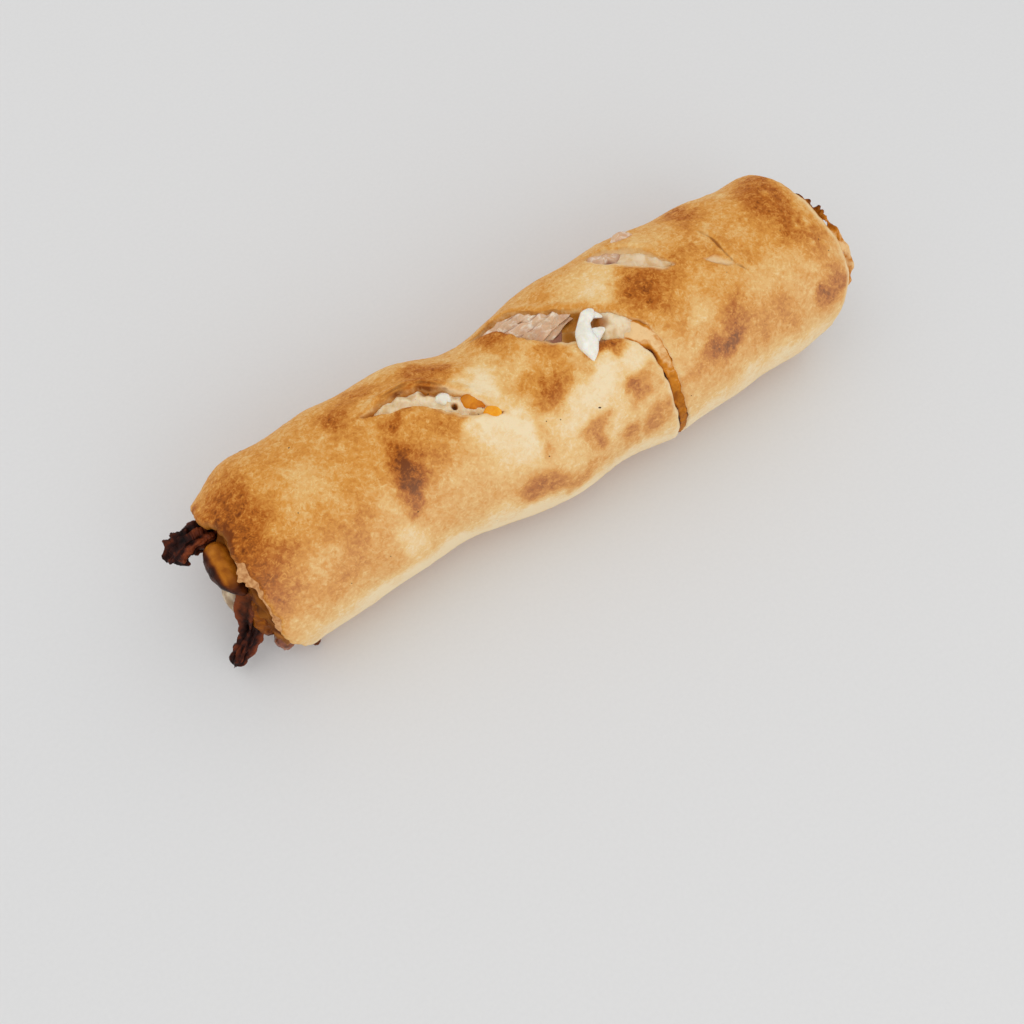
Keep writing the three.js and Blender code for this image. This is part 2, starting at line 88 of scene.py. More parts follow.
# Slits as lines of station and turn, with half widths from end to end. Lifts are of the front and the back
# lip. Burnt and pale edges have a side, a strength and two shares along the slit that they run between. Sides
# are 1 for the front edge, -1 for the back edge and 0 for both. Shade is painted shade on the back wall,
# under the lifted back lip.
SLITS = {
    "near": {
        "line": ((63, 70), (72, 73), (80, 75.5), (88, 82), (95, 90), (104, 98)),
        "half_widths": (0.4, 2.7, 3.5, 3.6, 3.6, 0.5), "depth": 4.5, "round": 0.8, "lifts": (0.7, 1.5),
        "toast": 0.08, "soft": 1.0, "burnt": (-1, 1.0, 0.15, 0.66), "pale": (0, 0.75, 0.62, 1.0),
        "shade": 1.0,
    },
    "middle": {
        "line": ((113, 37), (124, 48), (130, 66), (138, 78), (147, 87), (155, 96), (161, 104)),
        "half_widths": (0.5, 4.2, 5.6, 6.0, 5.0, 3.8, 3.2), "depth": 4.5, "round": 0.8, "lifts": (0.7, 1.0),
        "toast": 0.1, "soft": 1.0, "burnt": (0, 0.5, 0.0, 0.55), "pale": (1, 0.6, 0.4, 0.7), "shade": 1.0,
    },
    "front": {
        "line": ((154.5, 95.5), (158.5, 102), (162, 111), (163, 122), (163.2, 136), (163.6, 152),
                 (164.6, 168), (166.8, 186), (168.5, 210)),
        "half_widths": (3.2, 3.4, 3.2, 2.4, 2.1, 2.1, 2.1, 1.9, 0.5), "depth": 4.2, "round": 0.5,
        "lifts": (1.0, 0.3), "toast": -0.05, "soft": 0.6, "burnt": (1, 0.0, 0.0, 1.0),
        "pale": (1, 0.9, 0.1, 1.0), "shade": 0.0,
    },
    "far": {
        "line": ((165, 39), (168.2, 49), (173, 58), (178, 68), (182, 77), (186, 82)),
        "half_widths": (0.8, 4.5, 4.6, 3.7, 1.9, 0.4), "depth": 4.5, "round": 0.7, "lifts": (0.6, 0.9),
        "toast": 0.02, "soft": 1.0, "burnt": (0, 0.15, 0.0, 1.0), "pale": (1, 0.9, 0.1, 0.9), "shade": 0.2,
    },
    "crease": {
        "line": ((203.6, 69), (205.4, 78), (205.6, 88), (206.8, 96), (209.4, 103)),
        "half_widths": (0.0, 0.1, 0.15, 0.1, 0.0), "depth": 0.35, "round": 0.3, "lifts": (0.1, 0.7),
        "toast": -0.04, "soft": 0.0, "burnt": (0, 0.7, 0.05, 0.95), "pale": (-1, 0.0, 0.0, 0.6), "shade": 0.0,
    },
    "fold": {
        "line": ((72, 66.5), (79, 66), (86, 69.5), (91, 75)),
        "half_widths": (0.0, 0.15, 0.15, 0.0), "depth": 0.6, "round": 0.3, "lifts": (0.0, 0.4), "toast": 0.08,
        "soft": 0.0, "burnt": (0, 0.6, 0.0, 1.0), "pale": (0, 0.0, 0.0, 1.0), "shade": 0.0,
    },
    "tear": {
        "line": ((197, 88), (201, 91), (206, 95.5)),
        "half_widths": (0.3, 1.3, 0.4), "depth": 1.0, "round": 0.4, "lifts": (0.3, 0.3), "toast": 0.0,
        "soft": 0.75, "burnt": (1, 0.25, 0.0, 1.0), "pale": (0, 0.0, 0.0, 1.0), "shade": 0.0,
    },
}
# Hollows seen in the slits, painted dark with the hollows' colour: partly the amber of browned filling and
# partly painted shade in the deep gaps. Station, turn, reach along, reach round, strength
HOLLOW_AMBER_AND_SHADE_SPOTS = ((92.8, 88.5, 1.8, 3.4, 1.0), (140, 85, 3.2, 7, 1.0), (150.8, 87.5, 4, 6, 0.85),
           (169.5, 60, 2.4, 2.6, 0.9), (98, 88, 4, 4, 0.4))
# Small pale blisters near the far lip: station, turn, reach along, reach round, lift
BLISTERS = ((237, 95, 1.1, 2.2, 0.5), (242, 95.5, 1.1, 2.2, 0.5), (238.5, 108, 1.3, 2.4, 0.5),
            (240.5, 101, 0.9, 1.7, 0.4), (236.5, 68, 1.4, 2.6, 0.5), (244, 112, 1.0, 1.8, 0.4))
BLISTER_PALENESS = 0.6
SLIT_SAMPLES = 90
SLIT_WALL = 1.2
CREASE_DEPTH = 2.0
LIP_REACH, LIP_TAPER = 2.4, 0.15
EDGE_WAVER, EDGE_WAVE = 0.2, 5
# Millimetres out from a slit's edge where it is soft, pale, toasted and burnt, and how far each fades
SOFT_FADE = 0.4
PALE_AT, PALE_FADE = 0.5, 0.8
TOASTED_AT, TOASTED_FADE = 0.9, 1.3
BURNT_AT, BURNT_PATCH = 0.35, 7
FAR_FROM_LINE = 4.0
SHARE_FADE = 0.08
# The back wall of a slit, darkened as painted shade: its share of the hollows' colour, its extra bake as
# painted shade and where it starts
SHADED_WALL, WALL_PAINTED_SHADE, WALL_FROM = 0.6, 0.2, (-0.2, 0.4)
HOLLOW_EDGE, HOLLOW_PRESS = 2.0, (1, 3)

# How the ends' lips run: where they start, stand out, are torn back or drawn in
NEAR_LIP = {"start": 2.5, "out": 4.5, "out_turn": 38, "out_round": 28, "torn": 10, "torn_turn": 208,
            "torn_round": 32}
FAR_LIP = {"drawn": 8, "turn": 115, "round": 52}
NEAR_RAGS = ((0.6, 5, 40), (0.4, 11, 0))
FAR_RAGS = ((0.5, 6, 0), (0.3, 13, 30))
LIP_EDGE = 1.6

# Toasted patches, and paler ones below zero: station, turn, reach along, reach round, strength. Some are
# painted
# light and shade: the dark rows in the valley by the near slit (stations 62 to 67) are partly painted shade
# of the dent, and the pale rows along the lower front (turns 186 to 192) are partly painted light bounced
# from below.
TOAST_LEVEL, TOAST_EDGE = 0.36, 1.5
TOAST_AND_PAINTED_SHADING = (
    (20, 92, 34, 62, 0.12), (6, 88, 10, 50, 0.33), (12, 58, 9, 20, 0.1), (13, 112, 7, 26, 0.08),
    (128, 118, 34, 38, -0.24), (126, 270, 160, 50, 0.1), (8, 160, 6, 12, -0.08), (99, 101, 6, 5, -0.24),
    (98, 79, 6, 6, -0.16),
    (54, 59, 6, 13, 0.36), (64, 44, 8, 14, 0.24), (75, 55, 10, 12, 0.12), (92, 60, 10, 13, 0.32),
    (67, 99, 4.5, 13, 0.34), (65.5, 115, 5, 12, 0.46), (62.5, 131, 4.5, 11, 0.42), (72, 83, 6, 5, 0.36),
    (73, 106, 8, 15, 0.2), (59, 100, 5, 22, 0.1),
    (86, 96, 9, 7, 0.24), (40, 116, 12, 15, 0.1), (34, 141, 11, 12, 0.12), (35, 98, 7, 16, -0.1),
    (55, 122, 5, 11, -0.12), (57, 150, 7, 16, -0.26), (82, 130, 10, 14, -0.06), (100, 118, 9, 22, -0.16),
    (104, 84, 6, 10, -0.26), (106, 68, 6, 10, -0.16), (108, 106, 5, 10, -0.16), (101, 58, 4, 12, -0.08),
    (112, 128, 3.5, 9, 0.22), (107, 157, 9, 11, 0.42), (90, 166, 9, 10, -0.1),
    (123.5, 103.5, 11.5, 12, 0.6), (117, 51, 5, 12, 0.34), (119, 68, 6, 8, 0.16),
    (128, 86, 6, 5, 0.3), (147, 101, 7, 6, 0.66), (151, 129, 6, 8, 0.54), (131, 145, 6, 9, 0.46),
    (143, 160, 5, 10, 0.34), (156, 155, 6, 9, 0.3), (122, 168, 9, 6, 0.24), (137, 118, 12, 9, -0.12),
    (155, 114, 5, 11, -0.16), (154, 62, 7, 13, -0.14), (141, 50, 6, 12, 0.12), (163, 62, 4, 12, -0.14),
    (171, 84, 11, 15, 0.36), (174, 105, 7, 10, 0.2), (183, 110, 6, 6, -0.16), (181, 58, 7, 8, -0.1),
    (195, 84, 14, 10, 0.18), (198, 76, 3.5, 9, 0.16), (206, 43, 7, 16, 0.36), (204, 62, 8, 10, 0.16),
    (187, 137, 9, 9, 0.44), (196, 120, 7, 13, 0.28), (201, 134, 14, 12, 0.2), (218, 140, 7, 13, 0.16),
    (220, 112, 13, 13, -0.04), (170, 141, 7, 6, 0.18), (222, 70, 10, 13, 0.1), (229, 86, 8, 20, 0.12),
    (237, 62, 8, 26, 0.38), (237, 94, 7, 14, 0.2), (240, 140, 6.5, 17, 0.44),
    (30, 190, 45, 22, -0.3), (85, 186, 45, 18, -0.26), (205, 186, 65, 24, -0.3), (130, 192, 45, 16, -0.2),
    (40, 5, 16, 20, 0.16), (100, 350, 13, 16, 0.2), (180, 0, 15, 18, 0.2), (228, 340, 13, 18, 0.2),
    (140, 342, 11, 13, 0.16), (66, 332, 11, 14, 0.2),
    (212, 91, 8, 10, 0.14), (240, 112, 6, 10, 0.14), (57, 74, 7, 8, 0.12), (33, 84, 8, 12, -0.14),
    (28, 129, 8, 12, -0.12), (117, 130, 6, 8, 0.1), (138, 150, 6, 7, -0.16), (107, 69, 6, 9, -0.12),
    (157, 74, 6, 9, -0.14), (164, 92, 7, 9, 0.16), (191, 77, 6, 8, 0.08),
)
# How the patches stray from their rows: millimetres, size and seed
TOAST_WANDER = ((1.4, 17, 13), (0.6, 6, 15))
CRUST_SEEDS = {"edge": 3, "rags": 5}


def srgb(red, green, blue):
    """A linear colour from the 0 to 255 values that a screen shows."""
    shown = np.array((red, green, blue)) / 255
    linear = np.where(shown <= 0.04045, shown / 12.92, ((shown + 0.055) / 1.055) ** 2.4)
    return tuple(float(part) for part in linear)


def colour_property(name, description, shown):
    return FloatVectorProperty(
        name=name, description=description, default=srgb(*shown), subtype="COLOR", size=3, min=0, max=1
    )


# Curves of the roll


def bell(value, middle, reach):
    return np.exp(-(((value - middle) / reach) ** 2))


def bells(changes, station):
    return sum(size * bell(station, at, spread) for at, spread, size in changes)


def turn_between(turn, other):
    return (turn - other + 180) % 360 - 180


def turn_bell(turn, middle, reach):
    """1 at one turn of the roll, fading to both sides of it."""
    return bell(turn_between(turn, middle), 0, reach)


def patches(rows, station, turn, edge=1.0):
    """The sum of soft oval patches, each with its own strength, with firmer edges as `edge` grows."""
    total = np.zeros(np.broadcast(station, turn).shape)
    for at, middle, along, around, strength in rows:
        reach = ((station - at) / along) ** 2 + (turn_between(turn, middle) / around) ** 2
        total += strength * np.exp(-(reach**edge))
    return total


def signed_power(value, power):
    return np.sign(value) * np.abs(value) ** power


def half_width(station):
    return HALF_WIDTH + bells(WIDTH_CHANGES, station)


def centre_line(station):
    return SIDE_SHIFT + bells(BENDS, station)


def crust_relief(station, turn):
    angle = np.radians(turn)
    long, slow, short = (2 * np.pi * station / length for length in WAVE_LENGTHS)
    waves = np.sin(long + 2 * angle) * np.cos(slow) + np.sin(short - 3 * angle)
    return WAVE_HEIGHT * waves + patches(CRUST_RELIEF, station, turn)


def skin(station, turn, inset=0.0):
    """Points on the roll's skin, or inset below it, in the roll's own millimetres."""
    station, turn, inset = np.broadcast_arrays(*(np.asarray(v, float) for v in (station, turn, inset)))
    angle = np.radians(turn)
    half = half_width(station)
    height = 2 * HEIGHT_TO_WIDTH * half
    middle = MID_HEIGHT * height
    above = np.sin(angle) >= 0
    power = 2 / np.where(above, CROWN_POWER, BASE_POWER)
    rise = np.where(above, height - middle - inset, (middle - inset) * BASE_FLATNESS)
    across = (half - inset) * signed_power(np.cos(angle), power)
    up = rise * signed_power(np.sin(angle), power)
    reach = np.maximum(np.hypot(across, up), 1)
    clear_of_base = np.clip((middle + up - RELIEF_FLOOR) / RELIEF_FADE, 0, 1)
    near_skin = np.clip(1 - inset / DOUGH_WALL, 0, 1)
    swell = 1 + crust_relief(station, turn) * clear_of_base * near_skin / reach
    level = np.maximum(np.maximum(middle + up * swell, inset), 0)
    return np.stack([station, centre_line(station) + across * swell, level], -1)


def rags(rows, turn):
    return sum(size * np.sin(np.radians(count * turn + phase)) for size, count, phase in rows)


def near_lip(turn):
    torn = NEAR_LIP["torn"] * turn_bell(turn, NEAR_LIP["torn_turn"], NEAR_LIP["torn_round"])
    out = NEAR_LIP["out"] * turn_bell(turn, NEAR_LIP["out_turn"], NEAR_LIP["out_round"])
    return NEAR_LIP["start"] + torn - out + rags(NEAR_RAGS, turn)


def far_lip(turn):
    full = turn_bell(turn, FAR_LIP["turn"], FAR_LIP["round"])
    return ROLL_LENGTH - FAR_LIP["drawn"] * (1 - full) + rags(FAR_RAGS, turn)


def roll_origin():
    """Where the roll's own zero point lies in the frame, in metres, from the dough's packed box."""
    low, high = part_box("dough_roll")
    stations = np.arange(0, ROLL_LENGTH)
    back = skin(stations, 0)[:, 1].max()
    front = skin(stations, 180)[:, 1].min()
    first = near_lip(np.arange(0, 360, 10)).min()
    return np.array((low.x - first * MM, (low.y + high.y - (back + front) * MM) / 2, low.z))


ORIGIN = roll_origin()


def placed(points):
    """The roll's own millimetres as metres in the frame."""
    return np.asarray(points, float) * MM + ORIGIN


def unevenness(points, size, seed):
    """Smooth waves of about `size` millimetres through space, mostly from -1 to 1."""
    draw = np.random.default_rng(seed)
    total = np.zeros(points.shape[:-1])
    for _ in range(UNEVEN_WAVES):
        way = draw.normal(size=3)
        way *= 2 * np.pi / size * draw.uniform(0.6, 1.5) / np.linalg.norm(way)
        total += np.sin(points @ way + draw.uniform(0, 2 * np.pi))
    return total / np.sqrt(UNEVEN_WAVES / 2)


def uneven_by(points, reach, size, seed):
    return reach * unevenness(points, size, seed)


def smooth_step(value, start, end):
    share = np.clip((value - start) / (end - start), 0, 1)
    return share * share * (3 - 2 * share)


def within(value, rise, fall):
    """1 between two soft edges, each with its start and end."""
    return smooth_step(value, *rise) * smooth_step(-value, -fall[1], -fall[0])


def smooth_line(points, count):
    """Evenly shared points on a smooth line through the given ones."""
    points = np.asarray(points, float)
    ends = np.vstack([2 * points[0] - points[1], points, 2 * points[-1] - points[-2]])
    place = np.linspace(0, len(points) - 1, count)
    step = np.minimum(place.astype(int), len(points) - 2)
    t = (place - step)[:, None]
    a, b, c, d = (ends[step + k] for k in range(4))
    return 0.5 * (2 * b + (c - a) * t + (2 * a - 5 * b + 4 * c - d) * t**2 + (3 * b - a - 3 * c + d) * t**3)


def along_list(values, share):
    return np.interp(share, np.linspace(0, 1, len(values)), values)


def slit_line(slit):
    """A slit's middle line with millimetres on both axes, and the way along it."""
    points = np.array(slit["line"], float) * (1, ARC_PER_DEGREE)
    line = smooth_line(points, SLIT_SAMPLES)
    along = np.gradient(line, axis=0)
    return line, along / np.linalg.norm(along, axis=1, keepdims=True)


def slit_edge(slit, station, turn):
    """The distance outwards from a slit's edge in millimetres, its side and the share along the slit."""
    line, along = slit_line(slit)
    flat = np.stack([station, turn * ARC_PER_DEGREE], -1).reshape(-1, 2)
    nearest = np.linalg.norm(flat[:, None] - line[None], axis=-1).argmin(1)
    away = flat - line[nearest]
    share = nearest / (SLIT_SAMPLES - 1)
    edge = np.linalg.norm(away, axis=1) - along_list(slit["half_widths"], share)
    side = np.sign(along[nearest, 0] * away[:, 1] - along[nearest, 1] * away[:, 0])
    return (values.reshape(station.shape) for values in (edge, side, share))


def slit_points(slit, share, side, inset):
    """Points in a slit: a share along it, from -1 to 1 across it and inset below the skin."""
    share, side, inset = np.broadcast_arrays(share, side, inset)
    line, along = slit_line(slit)
    shares = np.linspace(0, 1, SLIT_SAMPLES)
    x, y, ax, ay = (np.interp(share, shares, v) for v in (*line.T, *along.T))
    reach = side * along_list(slit["half_widths"], share)
    return skin(x - ay * reach, (y + ax * reach) / ARC_PER_DEGREE, inset)


# Meshes


def grid_faces(rows, columns, close_rows=False, close_columns=False):
    index = np.arange(rows * columns).reshape(rows, columns)
    if close_rows:
        index = np.vstack([index, index[:1]])
    if close_columns:
        index = np.hstack([index, index[:, :1]])
    corners = (index[:-1, :-1], index[:-1, 1:], index[1:, 1:], index[1:, :-1])
    return np.stack(corners, -1).reshape(-1, 4)


def outward(points, faces):
    """The faces, turned over if the closed mesh is inside out."""
    centred = points - points.mean(0)
    corners = np.array([face[:3] for face in faces])
    a, b, c = (centred[corners[:, k]] for k in range(3))
    inside_out = np.einsum("ij,ij->i", a, np.cross(b, c)).sum() < 0
    return [[int(corner) for corner in (face[::-1] if inside_out else face)] for face in faces]


def mesh_piece(name, points, faces, levels):
    """A smooth mesh in the frame from the roll's millimetres, with named values on its points."""
    points = np.asarray(points, float).reshape(-1, 3)
    mesh = bpy.data.meshes.new(name)
    mesh.from_pydata(placed(points).tolist(), [], outward(points, faces))
    for label, values in levels.items():
        layer = mesh.attributes.new(label, "FLOAT", "POINT")
        layer.data.foreach_set("value", np.asarray(values, np.float32).ravel())
    mesh.shade_smooth()
    mesh.validate()
    piece = bpy.data.objects.new(name, mesh)
    bpy.context.scene.collection.objects.link(piece)
    return piece


def copied_piece(name, piece):
    """A second piece with the same mesh, for bits to lie on."""
    copy = bpy.data.objects.new(name, piece.data.copy())
    bpy.context.scene.collection.objects.link(copy)
    return copy


def slab(top, bottom):
    """Points and faces of a closed slab between two grids of points of one size."""
    rows, columns = top.shape[:2]
    upper = grid_faces(rows, columns)
    lower = upper[:, ::-1] + rows * columns
    index = np.arange(rows * columns).reshape(rows, columns)
    rim = np.concatenate([index[0], index[1:, -1], index[-1, -2::-1], index[-2:0:-1, 0]])
    after = np.roll(rim, -1)
    walls = np.stack([after, rim, rim + rows * columns, after + rows * columns], -1)
    points = np.concatenate([top.reshape(-1, 3), bottom.reshape(-1, 3)])
    return points, [*upper, *lower, *walls]


def tube(rings):
    """Points and faces of a closed tube through rings of points, with a fan over each end."""
    rows, sides = rings.shape[:2]
    points = np.vstack([rings.reshape(-1, 3), rings[0].mean(0), rings[-1].mean(0)])
    walls = grid_faces(rows, sides, close_columns=True)
    around = np.arange(sides)
    after = np.roll(around, -1)
    first = np.stack([np.full(sides, rows * sides), after, around], -1)
    base = (rows - 1) * sides
    last = np.stack([np.full(sides, rows * sides + 1), around + base, after + base], -1)
    return points, [*walls, *first, *last]


LUMP_BLUNTNESS = 6
THINNEST = 0.2


def lump_rings(path, widths, heights, across, steps, sides, blunt=LUMP_BLUNTNESS, boxy=1.0):
    """Rings of a rounded or boxy lump along a path, with half widths and half heights along it."""
    share = np.linspace(0, 1, steps)
    centre = smooth_line(path, steps)
    along = np.gradient(centre, axis=0)
    along /= np.linalg.norm(along, axis=1, keepdims=True)
    wide = np.asarray(across, float) - along * (along @ np.asarray(across, float))[:, None]
    wide /= np.linalg.norm(wide, axis=1, keepdims=True)
    thick = np.cross(along, wide)
    angle = np.linspace(0, 2 * np.pi, sides, endpoint=False)
    end = np.sqrt(np.clip(1.0005 - np.abs(2 * share - 1) ** blunt, 0, 1))[:, None, None]
    sizes = np.maximum(smooth_line(np.stack([widths, heights], -1), steps), THINNEST)[:, None, :] * end
    wide_by = sizes[..., :1] * signed_power(np.cos(angle), boxy)[None, :, None]
    thick_by = sizes[..., 1:] * signed_power(np.sin(angle), boxy)[None, :, None]
    return centre[:, None] + wide[:, None] * wide_by + thick[:, None] * thick_by


def kept(piece, slot, *nodes):
    """Lets a piece ride with the part and sets it in place of its nodes. Its slot is not used."""
    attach(piece, "root")
    if nodes:
        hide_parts(*nodes)


# Nodes


def node(tree, kind, sockets=None, **settings):
    """A new node with its settings, and its sockets linked or given values."""
    made = tree.nodes.new(kind)
    for key, value in settings.items():
        setattr(made, key, value)
    for key, value in (sockets or {}).items():
        if isinstance(value, bpy.types.NodeSocket):
            tree.links.new(value, made.inputs[key])
        else:
            made.inputs[key].default_value = value
    return made


def sums(tree, operation, first, second=0.0, third=0.0):
    made = node(tree, "ShaderNodeMath", {0: first, 1: second, 2: third}, operation=operation)
    return made.outputs[0]


def noise(tree, place, size, detail=3.0, roughness=0.55, distortion=0.0):
    """Noise from 0 to 1 with features of about `size` metres."""
    sockets = {"Vector": place, "Scale": 1 / size, "Detail": detail, "Roughness": roughness,
               "Distortion": distortion}
    return node(tree, "ShaderNodeTexNoise", sockets).outputs["Fac"]


def stretch(tree, value, low, high, to_low=0.0, to_high=1.0):
    sockets = {"Value": value, "From Min": low, "From Max": high, "To Min": to_low, "To Max": to_high}
    return node(tree, "ShaderNodeMapRange", sockets).outputs["Result"]


def swing(tree, value, reach, spread=0.2):
    """Noise as a change down and up by `reach`."""
    return stretch(tree, value, 0.5 - spread, 0.5 + spread, -reach, reach)


def ramp(tree, factor, stops):
    """A colour ramp through (place, colour) stops."""
    made = node(tree, "ShaderNodeValToRGB", {"Fac": factor})
    elements = made.color_ramp.elements
    while len(elements) < len(stops):
        elements.new(0.5)
    for element, (place, colour) in zip(elements, stops):
        element.position = place
        element.color = (*colour, 1)
    return made.outputs["Color"]


def blend_colours(tree, factor, first, second):
    made = tree.nodes.new("ShaderNodeMix")
    made.data_type = "RGBA"
    for socket, value in zip((made.inputs[0], made.inputs[6], made.inputs[7]), (factor, first, second)):
        if isinstance(value, bpy.types.NodeSocket):
            tree.links.new(value, socket)
        elif socket.type == "RGBA":
            socket.default_value = (*value, 1)
        else:
            socket.default_value = value
    return made.outputs[2]


def new_material(name, roughness, gloss, glow=0.0, radius=(1.0, 0.5, 0.25), depth=0.001):
    """A material with its node tree, its shader and its Object coordinates."""
    material = bpy.data.materials.new(name)
    material.use_nodes = True
    tree = material.node_tree
    shader = tree.nodes["Principled BSDF"]
    shader.inputs["Roughness"].default_value = roughness
    shader.inputs["Specular IOR Level"].default_value = gloss
    shader.inputs["Subsurface Weight"].default_value = glow
    shader.inputs["Subsurface Radius"].default_value = radius
    shader.inputs["Subsurface Scale"].default_value = depth
    return material, tree, shader, node(tree, "ShaderNodeTexCoord").outputs["Object"]


def level(tree, name):
    return node(tree, "ShaderNodeAttribute", attribute_name=name).outputs["Fac"]


def bump(tree, shader, height, strength, distance):
    made = node(tree, "ShaderNodeBump", {"Height": height, "Strength": strength, "Distance": distance})
    tree.links.new(made.outputs["Normal"], shader.inputs["Normal"])


def geometry_tree(name, inputs):
    """A geometry node tree with named inputs, and the sockets that hand them on."""
    tree = bpy.data.node_groups.new(name, "GeometryNodeTree")
    tree.interface.new_socket("Geometry", in_out="INPUT", socket_type="NodeSocketGeometry")
    for label, kind in inputs:
        tree.interface.new_socket(label, in_out="INPUT", socket_type=kind)
    tree.interface.new_socket("Geometry", in_out="OUTPUT", socket_type="NodeSocketGeometry")
    return tree, tree.nodes.new("NodeGroupInput").outputs


def close_tree(tree, geometry, material):
    """Ends a tree: instances made real, smooth, and with its material."""
    real = node(tree, "GeometryNodeRealizeInstances", {"Geometry": geometry}).outputs[0]
    smooth = node(tree, "GeometryNodeSetShadeSmooth", {"Geometry": real}).outputs[0]
    finished = node(tree, "GeometryNodeSetMaterial", {"Geometry": smooth, "Material": material})
    node(tree, "NodeGroupOutput", {"Geometry": finished.outputs[0]})
    return tree


def run_tree(piece, tree, **values):
    """Turns a piece into the plain mesh that a tree makes of it."""
    modifier = piece.modifiers.new(tree.name, "NODES")
    modifier.node_group = tree
    for item in tree.interface.items_tree:
        key = item.name.lower().replace(" ", "_")
        if item.in_out == "INPUT" and key in values:
            modifier[item.identifier] = values[key]
    graph = bpy.context.evaluated_depsgraph_get()
    made = bpy.data.meshes.new_from_object(piece.evaluated_get(graph))
    if not made.polygons:
        raise RuntimeError(f"{tree.name} made nothing of {piece.name}")
    piece.modifiers.clear()
    made.name = piece.name
    piece.data = made


def seeded_noise(tree, given, size, **sockets):
    """Noise through space at one of a tree's sizes, changed by its seed."""
    place = node(tree, "GeometryNodeInputPosition").outputs[0]
    scale = sums(tree, "DIVIDE", 1.0, given[size])
    sockets = {"Vector": place, "W": given["Seed"], "Scale": scale, **sockets}
    return node(tree, "ShaderNodeTexNoise", sockets, noise_dimensions="4D").outputs["Fac"]


def seeded_cells(tree, given, size):
    """Cells through space at one of a tree's sizes, changed by its seed."""
    place = node(tree, "GeometryNodeInputPosition").outputs[0]
    scale = sums(tree, "DIVIDE", 1.0, given[size])
    sockets = {"Vector": place, "W": given["Seed"], "Scale": scale}
    return node(tree, "ShaderNodeTexVoronoi", sockets, voronoi_dimensions="4D").outputs


def close_raised_tree(tree, geometry, lift, material):
    """Moves a surface out along its normals, and ends the tree."""
    normal = node(tree, "GeometryNodeInputNormal").outputs[0]
    offset = node(tree, "ShaderNodeVectorMath", {0: normal, "Scale": lift}, operation="SCALE").outputs[0]
    moved = node(tree, "GeometryNodeSetPosition", {"Geometry": geometry, "Offset": offset})
    return close_tree(tree, moved.outputs[0], material)


FLOAT, INTEGER, MATERIAL = "NodeSocketFloat", "NodeSocketInt", "NodeSocketMaterial"


def crust_relief_tree():
    """Raises fine grain and blisters on baked dough, where its `crisp` value is high."""
    inputs = (("Grain Height", FLOAT), ("Grain Size", FLOAT), ("Lump Height", FLOAT), ("Lump Size", FLOAT),
              ("Blister Height", FLOAT), ("Blister Size", FLOAT), ("Seed", FLOAT), ("Material", MATERIAL))
    tree, given = geometry_tree("Baked Crust Relief", inputs)
    crisp = node(tree, "GeometryNodeInputNamedAttribute", {"Name": "crisp"}, data_type="FLOAT").outputs[0]

    def waves(size, height, detail):
        made = seeded_noise(tree, given, size, Detail=detail)
        return sums(tree, "MULTIPLY", sums(tree, "SUBTRACT", made, 0.5), given[height])

    cells = seeded_cells(tree, given, "Blister Size")
    chosen = node(tree, "FunctionNodeSeparateColor", {"Color": cells["Color"]}).outputs[0]
    raised = stretch(tree, chosen, 0.45, 1.0)
    dome = stretch(tree, cells["Distance"], 0.5, 0.0)
    blister = sums(tree, "MULTIPLY", sums(tree, "MULTIPLY", dome, raised), given["Blister Height"])
    lift = sums(tree, "ADD", waves("Grain Size", "Grain Height", 3.0), waves("Lump Size", "Lump Height", 2.0))
    lift = sums(tree, "MULTIPLY", sums(tree, "ADD", lift, blister), crisp)
    return close_raised_tree(tree, given["Geometry"], lift, given["Material"])


def crag_tree():
    """Breaks a surface into crags, and keeps how high each point stands as `ridge`."""
    inputs = (("Crag Height", FLOAT), ("Crag Size", FLOAT), ("Pit Size", FLOAT), ("Seed", FLOAT),
              ("Material", MATERIAL))
    tree, given = geometry_tree("Broken Crags", inputs)
    rough = seeded_noise(tree, given, "Crag Size", Detail=4.0, Roughness=0.62)
    pits = seeded_cells(tree, given, "Pit Size")["Distance"]
    ridge = sums(tree, "ADD", sums(tree, "MULTIPLY", sums(tree, "SUBTRACT", rough, 0.5), 2.4),
                 sums(tree, "MULTIPLY", sums(tree, "SUBTRACT", pits, 0.45), 0.7))
    sockets = {"Geometry": given["Geometry"], "Name": "ridge", "Value": ridge}
    stored = node(tree, "GeometryNodeStoreNamedAttribute", sockets, data_type="FLOAT", domain="POINT")
    lift = sums(tree, "MULTIPLY", ridge, given["Crag Height"])
    return close_raised_tree(tree, stored.outputs[0], lift, given["Material"])


